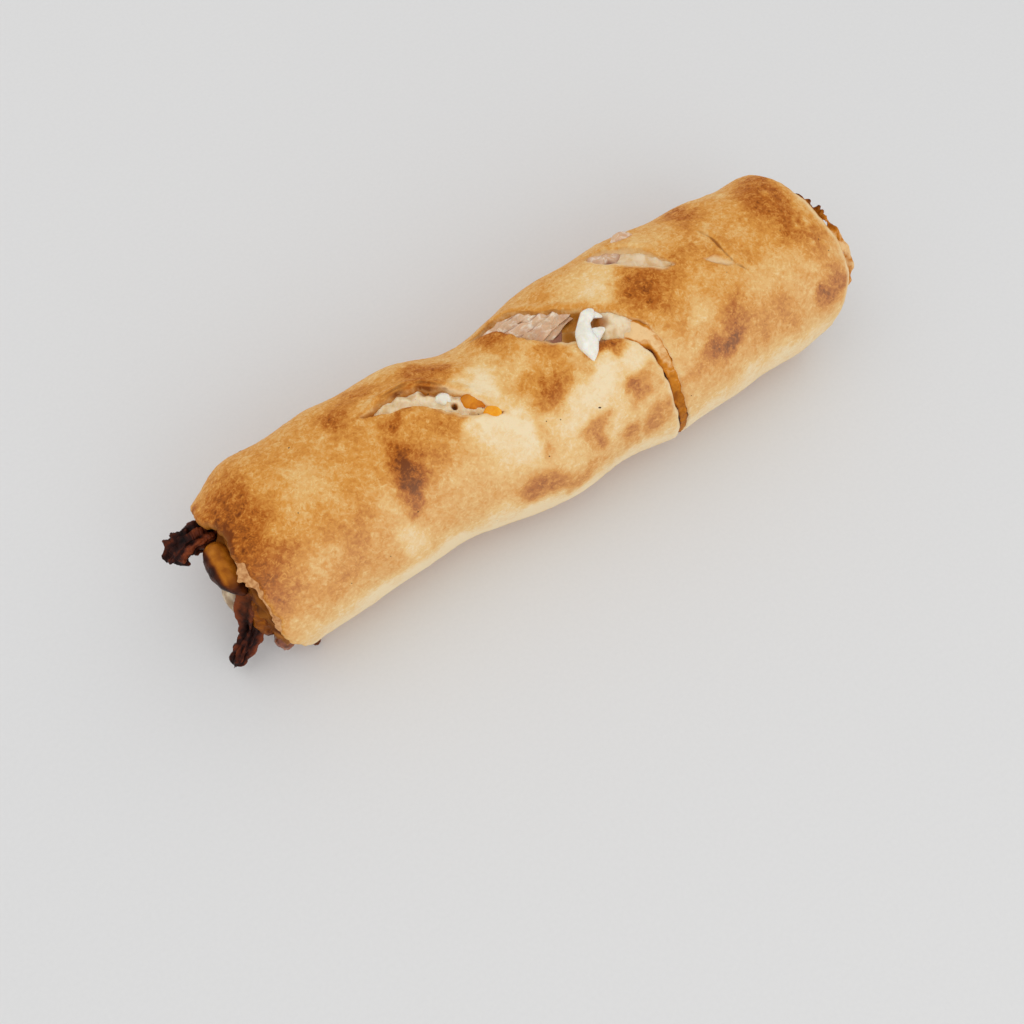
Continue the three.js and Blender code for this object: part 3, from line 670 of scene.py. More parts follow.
def scatter_tree():
    """Strews small bits over a surface, where its `bits` value is high."""
    inputs = (("Density", FLOAT), ("Smallest", FLOAT), ("Largest", FLOAT), ("Flatness", FLOAT),
              ("Seed", INTEGER), ("Material", MATERIAL))
    tree, given = geometry_tree("Strewn Bits", inputs)
    bits = node(tree, "GeometryNodeInputNamedAttribute", {"Name": "bits"}, data_type="FLOAT").outputs[0]
    density = sums(tree, "MULTIPLY", bits, given["Density"])
    sockets = {"Mesh": given["Geometry"], "Density": density, "Seed": given["Seed"]}
    points = node(tree, "GeometryNodeDistributePointsOnFaces", sockets)

    def any_between(low, high):
        sockets = {2: low, 3: high, "Seed": given["Seed"]}
        return node(tree, "FunctionNodeRandomValue", sockets, data_type="FLOAT").outputs[1]

    wide = any_between(given["Smallest"], given["Largest"])
    long = sums(tree, "MULTIPLY", wide, any_between(0.8, 1.9))
    flat = sums(tree, "MULTIPLY", wide, given["Flatness"])
    shape = node(tree, "ShaderNodeCombineXYZ", {"X": long, "Y": wide, "Z": flat}).outputs[0]
    sockets = {"Axis": (0, 0, 1), "Angle": any_between(0.0, 2 * np.pi)}
    spin = node(tree, "FunctionNodeAxisAngleToRotation", sockets).outputs[0]
    sockets = {0: points.outputs["Rotation"], 1: spin}
    turned = node(tree, "FunctionNodeRotateRotation", sockets, rotation_space="LOCAL")
    ball = node(tree, "GeometryNodeMeshIcoSphere", {"Radius": 1.0, "Subdivisions": 2}).outputs[0]
    sockets = {"Points": points.outputs["Points"], "Instance": ball, "Rotation": turned.outputs[0],
               "Scale": shape}
    strewn = node(tree, "GeometryNodeInstanceOnPoints", sockets).outputs[0]
    return close_tree(tree, strewn, given["Material"])


# Settings


class CrustSettings(bpy.types.PropertyGroup):
    """Colours and relief of the baked dough."""

    cream: colour_property("Cream", "Dough that has hardly browned", (243, 221, 180))
    pale: colour_property("Pale", "Lightly baked dough", (235, 193, 126))
    golden: colour_property("Golden", "Evenly baked dough", (218, 150, 66))
    brown: colour_property("Brown", "Toasted patches", (180, 100, 24))
    dark: colour_property("Dark", "The darkest toasted spots", (118, 56, 6))
    burnt: colour_property("Burnt", "Burnt edges of the slits", (124, 62, 8))
    inside: colour_property("Inside", "Soft dough inside the slits", (243, 226, 190))
    # Painted shade, partly the amber of browned filling: the slits' gaps and back walls and the near lip's
    # inside take this colour
    hollow_amber_and_shade: colour_property("Hollow", "Deep places between the filling", (168, 106, 28))
    # Painted reflection: the front is mixed toward this pale colour as light bounced from the pale floor, not
    # as flour dust
    front_sheen_colour: colour_property("Flour", "Dusty look of the front", (238, 214, 184))
    front_sheen_share: FloatProperty(name="Flour Share", description="How dusty the front looks", default=0.12)
    grain_height: FloatProperty(
        name="Grain Height", description="Height of the fine grain", default=0.0003, unit="LENGTH"
    )
    lump_height: FloatProperty(
        name="Lump Height", description="Height of the low lumps", default=0.0011, unit="LENGTH"
    )
    blister_height: FloatProperty(
        name="Blister Height", description="Height of the small blisters", default=0.00035, unit="LENGTH"
    )


class FillingSettings(bpy.types.PropertyGroup):
    """Colours of the filling and of what has run out and burnt."""

    meat: colour_property("Meat", "Cooked sliced meat", (219, 178, 140))
    meat_edge: colour_property("Meat Edge", "Browned edges of the slices", (142, 78, 48))
    cheese: colour_property("Cheese", "Pale melted cheese", (244, 228, 196))
    white_cheese: colour_property("White Cheese", "Fresh white melted cheese", (247, 245, 237))
    amber: colour_property("Amber", "Lightly browned cheese", (208, 130, 36))
    scorched: colour_property("Scorched", "Deeply browned cheese", (44, 16, 7))
    charred: colour_property("Charred", "Burnt filling", (14, 4, 3))
    # Partly a painted highlight: the ridges of burnt filling take this lighter colour while its pits stay
    # black
    charred_ridge: colour_property("Charred Ridge", "Red brown ridges of burnt filling", (100, 43, 21))


class StageSettings(bpy.types.PropertyGroup):
    """The floor, the light and the camera."""

    floor: colour_property("Floor", "The plain pale floor", (226, 226, 226))
    key_power: FloatProperty(
        name="Key Power", description="The soft light overhead", default=1.0, unit="POWER"
    )
    front_power: FloatProperty(
        name="Front Power", description="The weak soft light from the front", default=2.2, unit="POWER"
    )
    fill: FloatProperty(name="Fill", description="Strength of the light all round", default=0.84)
    lens: FloatProperty(name="Lens", description="Focal length in millimetres", default=39.375)


class StromboliSettings(bpy.types.PropertyGroup):
    """Everything that a user may change."""

    crust: PointerProperty(type=CrustSettings)
    filling: PointerProperty(type=FillingSettings)
    stage: PointerProperty(type=StageSettings)


# Finishes


def strokes(tree, place, size, width):
    """Short soft strokes: 1 along the middle of each, where noise crosses its middle value."""
    wave = noise(tree, place, size, detail=2, distortion=1.2)
    line = stretch(tree, sums(tree, "ABSOLUTE", sums(tree, "SUBTRACT", wave, 0.5)), width, 0.0)
    broken = stretch(tree, noise(tree, place, 0.8 * size, detail=1), 0.42, 0.6)
    return sums(tree, "MULTIPLY", sums(tree, "MULTIPLY", line, line), broken)


# Shades that go with those in the settings
MEAT_STREAK, MEAT_PINK, MEAT_BURNT = srgb(242, 224, 202), srgb(194, 144, 108), srgb(72, 36, 12)
CHEESE_SHADE, CHEESE_AMBER = srgb(226, 194, 144), srgb(196, 128, 52)
CHEESE_BROWN, CHEESE_BURNT = srgb(176, 108, 36), srgb(92, 44, 10)
BROWNED_CREAM, BROWNED_TAN, BROWNED_DARK = srgb(240, 200, 144), srgb(150, 82, 16), srgb(88, 38, 8)
CHAR_BROWN, CHAR_TOP_AND_HIGHLIGHT, CHAR_ROOT = srgb(44, 14, 7), srgb(128, 60, 28), srgb(104, 56, 10)
# Grain of the finishes in metres
CRUST_MOTTLE, CRUST_GRAIN = 0.009, 0.0016
PALE_STROKE, DARK_STROKE = 0.0026, 0.0031
MEAT_STREAKS, MEAT_PATCHES = 0.0034, 0.005
CHEESE_DRIFT, CHEESE_GRAIN = 0.004, 0.0016
BROWNED_SPOTS, BROWNED_GRAIN = 0.0024, 0.0012
CHAR_GRAIN, BIT_GRAIN = 0.0012, 0.0015


def crust_finish(look):
    """Baked dough: cream to dark brown by its `bake` value, with mottling, a fine fibrous grain, a painted
    reflection on the front and painted shade in its hollows.
    """
    material, tree, shader, place = new_material(
        "baked_crust", roughness=0.6, gloss=0.14, glow=0.05, radius=(1.0, 0.45, 0.2)
    )
    mottle = noise(tree, place, CRUST_MOTTLE, detail=4, distortion=0.6)
    grain = noise(tree, place, CRUST_GRAIN, detail=2, roughness=0.6, distortion=1.0)
    pale_strokes = strokes(tree, place, PALE_STROKE, 0.16)
    dark_strokes = strokes(tree, place, DARK_STROKE, 0.14)
    bake = level(tree, "bake")
    rough_bake = stretch(tree, bake, 0.1, 0.8, 0.4, 1.0)
    uneven = sums(tree, "ADD", swing(tree, mottle, 0.14, 0.25), swing(tree, grain, 0.16, 0.25))
    uneven = sums(tree, "MULTIPLY_ADD", pale_strokes, -0.22, uneven)
    uneven = sums(tree, "MULTIPLY_ADD", dark_strokes, 0.12, uneven)
    baked = sums(tree, "MULTIPLY_ADD", uneven, rough_bake, bake)
    stops = ((0.0, look.cream), (0.2, look.pale), (0.45, look.golden), (0.74, look.brown), (1.0, look.dark))
    colour = ramp(tree, baked, stops)
    # Painted reflection of the pale floor on the front of the roll
    front_sheen = sums(tree, "MULTIPLY", level(tree, "front_sheen"), look.front_sheen_share)
    colour = blend_colours(tree, front_sheen, colour, look.front_sheen_colour)
    soft = blend_colours(tree, stretch(tree, mottle, 0.3, 0.7), look.inside, look.pale)
    colour = blend_colours(tree, level(tree, "soft"), colour, soft)
    rough = swing(tree, grain, 1.0)
    away = sums(tree, "MULTIPLY_ADD", rough, 0.12, level(tree, "from_line"))
    line = sums(tree, "MULTIPLY", stretch(tree, away, 0.6, 0.2), level(tree, "burnt"))
    scorch = stretch(tree, sums(tree, "MULTIPLY_ADD", rough, 0.3, level(tree, "scorch")), 0.3, 0.8)
    colour = blend_colours(tree, sums(tree, "MAXIMUM", scorch, line), colour, look.burnt)
    # Painted shade of the slits' gaps and back walls and of the near lip's inside
    colour = blend_colours(tree, level(tree, "hollow_amber_and_shade"), colour, look.hollow_amber_and_shade)
    tree.links.new(colour, shader.inputs["Base Color"])
    tree.links.new(stretch(tree, grain, 0.3, 0.7, 0.45, 0.7), shader.inputs["Roughness"])
    height = sums(tree, "MULTIPLY_ADD", pale_strokes, 0.3, grain)
    bump(tree, shader, height, 0.4, 0.0004)
    return material


def browned_by_scorch(tree, colour, middle, deep):
    """A colour that turns to a middle and then to a deep shade as the `scorch` value grows."""
    scorch = level(tree, "scorch")
    colour = blend_colours(tree, stretch(tree, scorch, 0.0, 0.5), colour, middle)
    return blend_colours(tree, stretch(tree, scorch, 0.5, 1.0), colour, deep)


def meat_finish(look, name="cooked_meat", roughness=0.22, gloss=0.5):
    """Cooked meat with pale streaks, browned at the edges of its slices."""
    material, tree, shader, place = new_material(name, roughness, gloss, glow=0.15, radius=(1.0, 0.5, 0.3))
    streaks = noise(tree, place, MEAT_STREAKS, detail=3, distortion=1.2)
    colour = blend_colours(tree, stretch(tree, streaks, 0.48, 0.66), look.meat, MEAT_STREAK)
    pink = stretch(tree, noise(tree, place, MEAT_PATCHES), 0.48, 0.66, 0.0, 0.55)
    colour = blend_colours(tree, pink, colour, MEAT_PINK)
    colour = blend_colours(tree, level(tree, "rim"), colour, look.meat_edge)
    colour = browned_by_scorch(tree, colour, look.meat_edge, MEAT_BURNT)
    tree.links.new(colour, shader.inputs["Base Color"])
    bump(tree, shader, streaks, 0.15, 0.0004)
    return material


def cheese_finish(name, base, shade, roughness, glow=0.35, gloss=0.4):
    """Melted cheese, soft and a little see-through, with a slow change of shade."""
    material, tree, shader, place = new_material(
        name, roughness, gloss, glow, radius=(1.0, 0.7, 0.4), depth=0.002
    )
    drift = noise(tree, place, CHEESE_DRIFT, detail=3, distortion=0.6)
    colour = blend_colours(tree, stretch(tree, drift, 0.36, 0.64), base, shade)
    colour = blend_colours(tree, level(tree, "rim"), colour, CHEESE_AMBER)
    colour = browned_by_scorch(tree, colour, CHEESE_BROWN, CHEESE_BURNT)
    tree.links.new(colour, shader.inputs["Base Color"])
    bump(tree, shader, noise(tree, place, CHEESE_GRAIN, detail=2), 0.12, 0.0005)
    return material


def browned_finish(name, look, roughness, patchiness):
    """Browned cheese: amber to nearly black by its `scorch` value, with dark bubbles."""
    material, tree, shader, place = new_material(name, roughness, gloss=0.08)
    patchy = noise(tree, place, BROWNED_SPOTS, detail=4, distortion=0.8)
    scorch = sums(tree, "ADD", level(tree, "scorch"), swing(tree, patchy, patchiness))
    stops = ((0.0, BROWNED_CREAM), (0.25, look.amber), (0.55, BROWNED_TAN), (0.8, BROWNED_DARK),
             (1.0, look.scorched))
    tree.links.new(ramp(tree, scorch, stops), shader.inputs["Base Color"])
    bump(tree, shader, noise(tree, place, BROWNED_GRAIN, detail=3), 0.4, 0.0006)
    return material


def charred_finish(look):
    """Burnt filling: nearly black, red brown on its ridges, with oily glints. Its ridges are lighter and its
    pits darker partly as painted highlight and shade.
    """
    material, tree, shader, place = new_material("burnt_filling", roughness=0.5, gloss=0.12)
    fine = noise(tree, place, CHAR_GRAIN, detail=4)
    root = level(tree, "root")
    ridge = sums(tree, "ADD", level(tree, "ridge"), swing(tree, fine, 0.25))
    ridge = sums(tree, "MULTIPLY_ADD", level(tree, "fibre"), 0.4, ridge)
    ridge = sums(tree, "ADD", ridge, root)
    stops = ((0.0, look.charred), (0.45, CHAR_BROWN), (0.8, look.charred_ridge), (1.0, CHAR_TOP_AND_HIGHLIGHT))
    colour = ramp(tree, stretch(tree, ridge, -0.9, 1.3), stops)
    colour = blend_colours(tree, sums(tree, "MULTIPLY", root, 0.6), colour, CHAR_ROOT)
    tree.links.new(colour, shader.inputs["Base Color"])
    tree.links.new(stretch(tree, fine, 0.3, 0.7, 0.35, 0.65), shader.inputs["Roughness"])
    bump(tree, shader, fine, 0.5, 0.0006)
    return material


def plain_finish(name, colour, shade, roughness, spread=0.5):
    """Small bits in two close shades, which part more sharply as `spread` shrinks."""
    material, tree, shader, place = new_material(name, roughness, gloss=0.4)
    share = stretch(tree, noise(tree, place, BIT_GRAIN), 0.5 - spread, 0.5 + spread)
    tree.links.new(blend_colours(tree, share, colour, shade), shader.inputs["Base Color"])
    return material


# Dough


# Rows of the skin's mesh: from, to and how many, closer together where the slits are
CRUST_STATIONS = ((0, 58, 62), (58, 212, 280), (212, 252, 45))
CRUST_TURNS = ((34, 140, 116), (140, 394, 106))
# Rings round a lip from the skin to the inside: millimetres back from its edge, and inset
LIP_RINGS = ((0.5, 0.4), (0.0, 1.3), (0.1, 2.6), (0.7, 4.0), (2.2, 5.0))
LIP_SOFT_FROM = 1.6
INNER_ROWS = 12
INNER_START = 5.0
INNER_SOFTNESS = 0.3
# Small tears of the lips: depth and length, on a ring with these half sizes
LIP_TEARS = ((0.4, 11), (0.16, 3.5))
TEAR_RING = (30, 26)
FAR_TEARS = 0.5
# Where the near lip is more torn, and where it is drawn back: how much, turn and reach round
FRAYED, FRAYED_TURN, FRAYED_ROUND = 0.8, 118, 26
DRAWN_BACK, DRAWN_TURN, DRAWN_ROUND = 2.6, 122, 18
# Turns between which a look holds, as its soft start and its soft end
UNBURNT_SKIN = ((90, 102), (200, 230))
UNBURNT_LIP = ((152, 168), (200, 230))
# Turns of the front that take the painted reflection of the floor
FRONT_SHEEN_TURNS = ((92, 140), (210, 250))
FAR_RIM_TURNS = ((70, 84), (160, 190))
# The pale rim of the far lip: its width, how far it fades and how soft it is
FAR_RIM, FAR_RIM_FADE, FAR_RIM_SOFTNESS = 1.9, 1.0, 0.85
# Burnt and amber levels of the near lip from its inside to its skin, darker inside partly as burnt dough and
# partly as painted shade
NEAR_LIP_BURN_AND_SHADE = (0.8, 0.75, 0.4, 0.1, 0.0)
NEAR_LIP_AMBER_AND_SHADE = (0.75, 0.75, 0.75, 0.45, 0.1)
NEAR_LIP_SOFTNESS = 0.1
NEAR_BURN = {"level": 0.2, "uneven": 0.6, "reach": 2.4, "size": 5}
# How much smoother soft dough is
SOFT_SMOOTHNESS = 0.8
# Heights between which the relief and the flecks begin
RELIEF_FROM, FLECKS_FROM = (1, 8), (15, 30)
RELIEF = {"grain_size": 0.0016, "lump_size": 0.012, "blister_size": 0.0042, "seed": 4.0}
CHAR_FLECKS = {"density": 1300.0, "smallest": 0.00015, "largest": 0.00032, "flatness": 0.3, "seed": 7}


def drawn_lip(turn):
    """The near lip, drawn back beside the lower burnt strip."""
    return near_lip(turn) + DRAWN_BACK * turn_bell(turn, DRAWN_TURN, DRAWN_ROUND)


def ragged_lips(turn):
    """Both lips with their small tears, at each turn."""
    angle = np.radians(turn)
    across, up = TEAR_RING
    ring = np.stack([0 * turn, across * np.cos(angle), up * np.sin(angle)], -1)
    seed = CRUST_SEEDS["rags"]
    tears = sum(uneven_by(ring, depth, size, seed + k) for k, (depth, size) in enumerate(LIP_TEARS))
    frayed = 1 + FRAYED * turn_bell(turn, FRAYED_TURN, FRAYED_ROUND)
    return drawn_lip(turn) + frayed * tears, far_lip(turn) + FAR_TEARS * tears


def part_of_slit(row, side, share):
    """The strength of a burnt or pale edge along its part of a slit and on its side."""
    which, strength, first, last = row
    here = (side == which) | (which == 0)
    begun = smooth_step(share, first - SHARE_FADE, first + SHARE_FADE)
    return strength * here * begun * smooth_step(last - share, -SHARE_FADE, SHARE_FADE)


def slit_shape(station, turn, points):
    """How the slits press the skin in, how soft and toasted they leave it, the painted shade of their back
    walls and hollows, and their burnt lines.
    """
    press, lift, soft, toast, burnt, shaded = np.zeros((6, *station.shape))
    from_line = np.full(station.shape, FAR_FROM_LINE)
    waver = EDGE_WAVER * unevenness(points, EDGE_WAVE, CRUST_SEEDS["edge"])
    uneven = np.clip(0.8 + 0.4 * unevenness(points, BURNT_PATCH, CRUST_SEEDS["edge"] + 1), 0, 1)
    for slit in SLITS.values():
        edge, side, share = slit_edge(slit, station, turn)
        edge = edge + waver
        over = slit["round"]
        rounded = over - np.sqrt(over**2 - np.clip(over - edge, 0, over) ** 2)
        wall = (slit["depth"] - over) * smooth_step(-edge, 0, SLIT_WALL)
        press = np.maximum(press, rounded + wall)
        front_lift, back_lift = slit["lifts"]
        lip = bell(edge, LIP_REACH, LIP_REACH) * smooth_step(edge, -1, 1)
        ends = smooth_step(share, 0, LIP_TAPER) * smooth_step(1 - share, 0, LIP_TAPER)
        lift = np.maximum(lift, np.where(side > 0, front_lift, back_lift) * lip * ends)
        soft = np.maximum(soft, slit["soft"] * smooth_step(-edge, -SOFT_FADE, SOFT_FADE))
        pale = part_of_slit(slit["pale"], side, share)
        soft = np.maximum(soft, pale * bell(edge, PALE_AT, PALE_FADE))
        toast = toast + slit["toast"] * bell(edge, TOASTED_AT, TOASTED_FADE)
        line = part_of_slit(slit["burnt"], side, share) * uneven
        away = np.abs(edge - (BURNT_AT if slit["depth"] > CREASE_DEPTH else 0.0))
        burnt = np.where(away < from_line, line, burnt)
        from_line = np.minimum(from_line, away)
        # Painted shade on the back wall under the lifted back lip: less soft colour, more bake and the
        # hollows' colour
        painted_wall_shade = slit["shade"] * (side < 0) * smooth_step(-edge, *WALL_FROM)
        soft = soft * (1 - painted_wall_shade)
        toast = toast + WALL_PAINTED_SHADE * painted_wall_shade
        shaded = np.maximum(shaded, painted_wall_shade)
    # The hollows' colour: painted shade in the deep places, partly the amber of browned filling
    hollow_amber_and_shade = np.clip(patches(HOLLOW_AMBER_AND_SHADE_SPOTS, station, turn, HOLLOW_EDGE), 0, 1) * smooth_step(press, *HOLLOW_PRESS)
    hollow_amber_and_shade = np.maximum(hollow_amber_and_shade, SHADED_WALL * shaded)
    soft = soft * (1 - hollow_amber_and_shade)
    return press - lift, soft, toast, (np.clip(burnt, 0, 1), from_line), hollow_amber_and_shade


def toasting(station, turns, points, near):
    """How the skin is toasted in patches, some of which are painted shade and painted bounce light, and burnt
    a little along the near lip.
    """
    astray, aside = (sum(uneven_by(points, reach, size, seed + k) for reach, size, seed in TOAST_WANDER)
                     for k in range(2))
    bake = TOAST_LEVEL + patches(TOAST_AND_PAINTED_SHADING, station + astray, turns + aside / ARC_PER_DEGREE, TOAST_EDGE)
    reach = NEAR_BURN["reach"]
    edge = smooth_step(near + LIP_EDGE + reach - station, 0, reach) * (1 - within(turns, *UNBURNT_SKIN))
    patchy = 1 + NEAR_BURN["uneven"] * unevenness(points, NEAR_BURN["size"], CRUST_SEEDS["edge"] + 2)
    return bake + NEAR_BURN["level"] * edge * patchy


def dough_mesh():
    """The dough as one closed wall: its skin with the slits, both lips and its inside."""
    shares = [np.linspace(a, b, n, endpoint=b == ROLL_LENGTH) for a, b, n in CRUST_STATIONS]
    shares = np.concatenate(shares)[:, None] / ROLL_LENGTH
    turn = np.concatenate([np.linspace(a, b, n, endpoint=False) for a, b, n in CRUST_TURNS])[None] % 360
    near, far = ragged_lips(turn)
    station = near + LIP_EDGE + shares * (far - near - 2 * LIP_EDGE)
    turns = np.broadcast_to(turn, station.shape)
    plain = skin(station, turns)
    inset, soft, toast, burnt, hollow_amber_and_shade = slit_shape(station, turns, plain)
    blisters = patches(BLISTERS, station, turns)
    outer = skin(station, turns, inset - blisters)
    bake = toasting(station, turns, plain, near) + toast - BLISTER_PALENESS * blisters
    rim = smooth_step(station, far - FAR_RIM - FAR_RIM_FADE, far - FAR_RIM) * within(turn, *FAR_RIM_TURNS)
    soft = np.maximum(soft, FAR_RIM_SOFTNESS * rim)

    far_rings = [skin(far - back, turn, deep)[0] for back, deep in LIP_RINGS]
    near_rings = [skin(near + back, turn, deep)[0] for back, deep in reversed(LIP_RINGS)]
    inner_shares = np.linspace(1, 0, INNER_ROWS)[:, None]
    inner = skin(near + INNER_START + inner_shares * (far - near - 2 * INNER_START), turn, DOUGH_WALL)
    rows = np.concatenate([outer, far_rings, inner, near_rings])

    lips = len(LIP_RINGS)
    nothing = np.zeros((len(rows) - len(outer), turn.size))
    lip_soft = smooth_step(np.array(LIP_RINGS)[:, 1], 0.0, LIP_SOFT_FROM)
    tail = [lip_soft, np.full(INNER_ROWS, INNER_SOFTNESS), NEAR_LIP_SOFTNESS * lip_soft[::-1]]
    burnt_turns = 1 - within(turn, *UNBURNT_LIP)

    # Burn and amber on the near lip's inner rings, partly painted shade
    def near_lip_only(shades):
        return np.concatenate([nothing[lips:], np.array(shades)[:, None] * burnt_turns])

    levels = {
        "bake": (bake, np.repeat(bake[[-1, 0]], (len(nothing) - lips, lips), 0)),
        "soft": (soft, nothing + np.concatenate(tail)[:, None]),
        "scorch": (0 * bake, near_lip_only(NEAR_LIP_BURN_AND_SHADE)),
        "burnt": (burnt[0], nothing),
        "from_line": (burnt[1], nothing + FAR_FROM_LINE),
        "hollow_amber_and_shade": (hollow_amber_and_shade, near_lip_only(NEAR_LIP_AMBER_AND_SHADE)),
        "front_sheen": (within(turns, *FRONT_SHEEN_TURNS), nothing),
        "crisp": ((1 - SOFT_SMOOTHNESS * soft) * smooth_step(outer[..., 2], *RELIEF_FROM), nothing),
        "bits": ((1 - soft) * smooth_step(outer[..., 2], *FLECKS_FROM), nothing),
    }
    faces = grid_faces(*rows.shape[:2], close_rows=True, close_columns=True)
    return rows, faces, {label: np.concatenate(parts) for label, parts in levels.items()}


class STROMBOLI_OT_dough(bpy.types.Operator):
    """Builds the baked dough with its slits, blisters and char flecks"""

    bl_idname = "stromboli.dough"
    bl_label = "Build Dough"

    def execute(self, context):
        look = context.scene.stromboli.crust
        crust = mesh_piece("dough_crust", *dough_mesh())
        flecks = copied_piece("char_flecks", crust)
        run_tree(
            crust, crust_relief_tree(), grain_height=look.grain_height, lump_height=look.lump_height,
            blister_height=look.blister_height, material=crust_finish(look), **RELIEF,
        )
        kept(crust, "crust", "dough_roll")
        soot = plain_finish("char_specks", srgb(38, 22, 14), srgb(84, 48, 24), 0.7)
        run_tree(flecks, scatter_tree(), material=soot, **CHAR_FLECKS)
        kept(flecks, "charred")
        return {"FINISHED"}


# Filling inside the roll


CORE_INSET = 5.3
CORE_START, CORE_END = 3.0, 246.0
NEAR_BULGE, FAR_BULGE = 1.6, 6.6
PARTING_SHIFT = 14.0
PARTING_BEND = (139, 12, -5.0)
PARTING_WAVE, PARTING_WAVE_LENGTH = 1.5, 107.0
PARTING_GAP = 0.15
PARTING_SAMPLES = 361
CORE_STEPS = 24
CAP_SCALES = np.linspace(0.03, 0.97, 14)
# Lumps of the ends, coarse and fine: millimetres and size, and how soon they begin inside the edge
CAP_LUMPS, CAP_LUMPS_BEGIN = ((0.6, 7), (0.3, 3.5)), 4
ARC_POINTS, CHORD_POINTS = 110, 36
# Browning of the ends: millimetres in where it fades, its level, more of it higher up, and its unevenness. At
# the near end it is partly painted shade of the recess behind the lip.
NEAR_BROWNING_AND_SHADE = {"fades": (5, 12), "level": 0.68, "higher": 0.15, "uneven": 0.1}
FAR_BROWNING = {"fades": (-2, 6), "level": 0.16, "higher": 0.0, "uneven": 0.08}
HIGHER_FROM, BROWN_PATCH = (20, 34), 6
FILLING_SEEDS = {"near": 21, "far": 24, "browning": 26, "meat": 31, "slices": 41, "cheese": 51}


def parting(station):
    """How far back the cheese meets the meat."""
    wave = PARTING_WAVE * np.sin(2 * np.pi * station / PARTING_WAVE_LENGTH)
    return centre_line(station) + PARTING_SHIFT + bells((PARTING_BEND,), station) + wave


def half_section(station, behind):
    """A ring round the meat's half of the filling, or round the cheese's half in front of it."""
    turn = np.linspace(0, 180, PARTING_SAMPLES)
    line = parting(station)
    upper = np.interp(-line, -skin(station, turn, CORE_INSET)[:, 1], turn)
    lower = 360 - np.interp(-line, -skin(station, 360 - turn, CORE_INSET)[:, 1], turn)
    ends = (lower - 360, upper) if behind else (upper, lower)
    arc = skin(station, np.linspace(*ends, ARC_POINTS) % 360, CORE_INSET)
    share = np.linspace(0, 1, CHORD_POINTS + 2)[1:-1, None]
    ring = np.vstack([arc, arc[-1] + share * (arc[0] - arc[-1])])
    return ring + (0, PARTING_GAP if behind else -PARTING_GAP, 0)


def cap(ring, station, bulge, outwards, seed):
    """Rings that close a half's end as part of one uneven dome over the whole filling."""
    heart = ring.mean(0)
    half = half_width(station) - CORE_INSET
    middle = 2 * HEIGHT_TO_WIDTH * MID_HEIGHT * half_width(station)
    rings = []
    for scale in CAP_SCALES:
        points = heart + scale * (ring - heart)
        reach = ((points[:, 1] - centre_line(station)) / half) ** 2 + ((points[:, 2] - middle) / middle) ** 2
        inner = np.clip(1 - reach, 0, 1)
        lumps = sum(uneven_by(points, high, size, seed + k) for k, (high, size) in enumerate(CAP_LUMPS))
        lumps = lumps * np.minimum(CAP_LUMPS_BEGIN * inner, 1)
        points[:, 0] += outwards * (bulge * np.sqrt(inner) + lumps)
        rings.append(points)
    return rings


def core_rings(behind):
    walls = [half_section(station, behind) for station in np.linspace(CORE_START, CORE_END, CORE_STEPS)]
    near = cap(walls[0], CORE_START, NEAR_BULGE, -1, FILLING_SEEDS["near"])
    far = cap(walls[-1], CORE_END, FAR_BULGE, 1, FILLING_SEEDS["far"])
    return np.array([*near, *walls, *far[::-1]])


def core_piece(name, behind):
    """Half of the filling, browned at both ends, the near end darker partly as painted shade."""
    points, faces = tube(core_rings(behind))
    high = smooth_step(points[:, 2], *HIGHER_FROM)
    patchy = unevenness(points, BROWN_PATCH, FILLING_SEEDS["browning"])
    scorch = np.zeros(len(points))
    for look, inside in ((NEAR_BROWNING_AND_SHADE, points[:, 0] - CORE_START), (FAR_BROWNING, CORE_END - points[:, 0])):
        full, none = look["fades"]
        brown = look["level"] + look["higher"] * high + look["uneven"] * patchy
        scorch = scorch + smooth_step(-inside, -none, -full) * np.clip(brown, 0, 1)
    return mesh_piece(name, points, faces, {"scorch": scorch, "rim": np.zeros(len(points))})


# Filling that shows in the slits: slit, shares along it, inset at its start and end, its lumps, and how
# much of it slopes down at each end
POCKET = 4.4
CHEESE_STRIPS = (
    ("near", 0.02, 1.0, 1.5, 0.9, 0.4, 0.12, 0.03),
    ("middle", 0.62, 1.0, 1.1, 0.5, 0.2, 0.3, 0.25),
    ("far", 0.1, 1.0, 2.4, 0.4, 0.25, 0.45, 0.04),
)
MEAT_STRIPS = (
    ("middle", 0.02, 0.52, 2.4, 2.6, 0.3, 0.1, 0.3),
    ("far", 0.0, 0.5, 0.9, 1.4, 0.3, 0.04, 0.4),
)
# Their looks: how tan the cheese is, how amber its ends, how dark its pits and how many herbs it has. The
# ends slope down into the gaps and the pits sink in, so their amber and dark are partly painted shade.
CHEESE_LOOKS = ((0.0, 0.3, 1.0, 1.0), (0.08, 1.2, 0.5, 0.15), (0.22, 0.0, 0.7, 0.1))
# How tan the meat strips are, and how browned their sloping ends, partly as painted shade in the gaps
MEAT_TANS, MEAT_ENDS = (0.0, 0.1), 0.7
HERBS = {"density": 26000.0, "smallest": 0.0001, "largest": 0.0003, "flatness": 0.4, "seed": 3}
STRIP_ROWS, STRIP_COLUMNS, STRIP_SIDE = 110, 30, 1.05
STRIP_TILT, STRIP_DISH = 0.7, 0.5
STRIP_LUMP, STRIP_GRAIN, STRIP_GRAIN_SHARE = 5, 2.2, 0.25
# Insets: the highest and lowest that a strip's top may lie, its base, and the surface its lumps are read on
STRIP_TOP, STRIP_FLOOR, STRIP_BASE, STRIP_MIDDLE = 0.2, POCKET - 0.1, POCKET + 0.3, 2.5
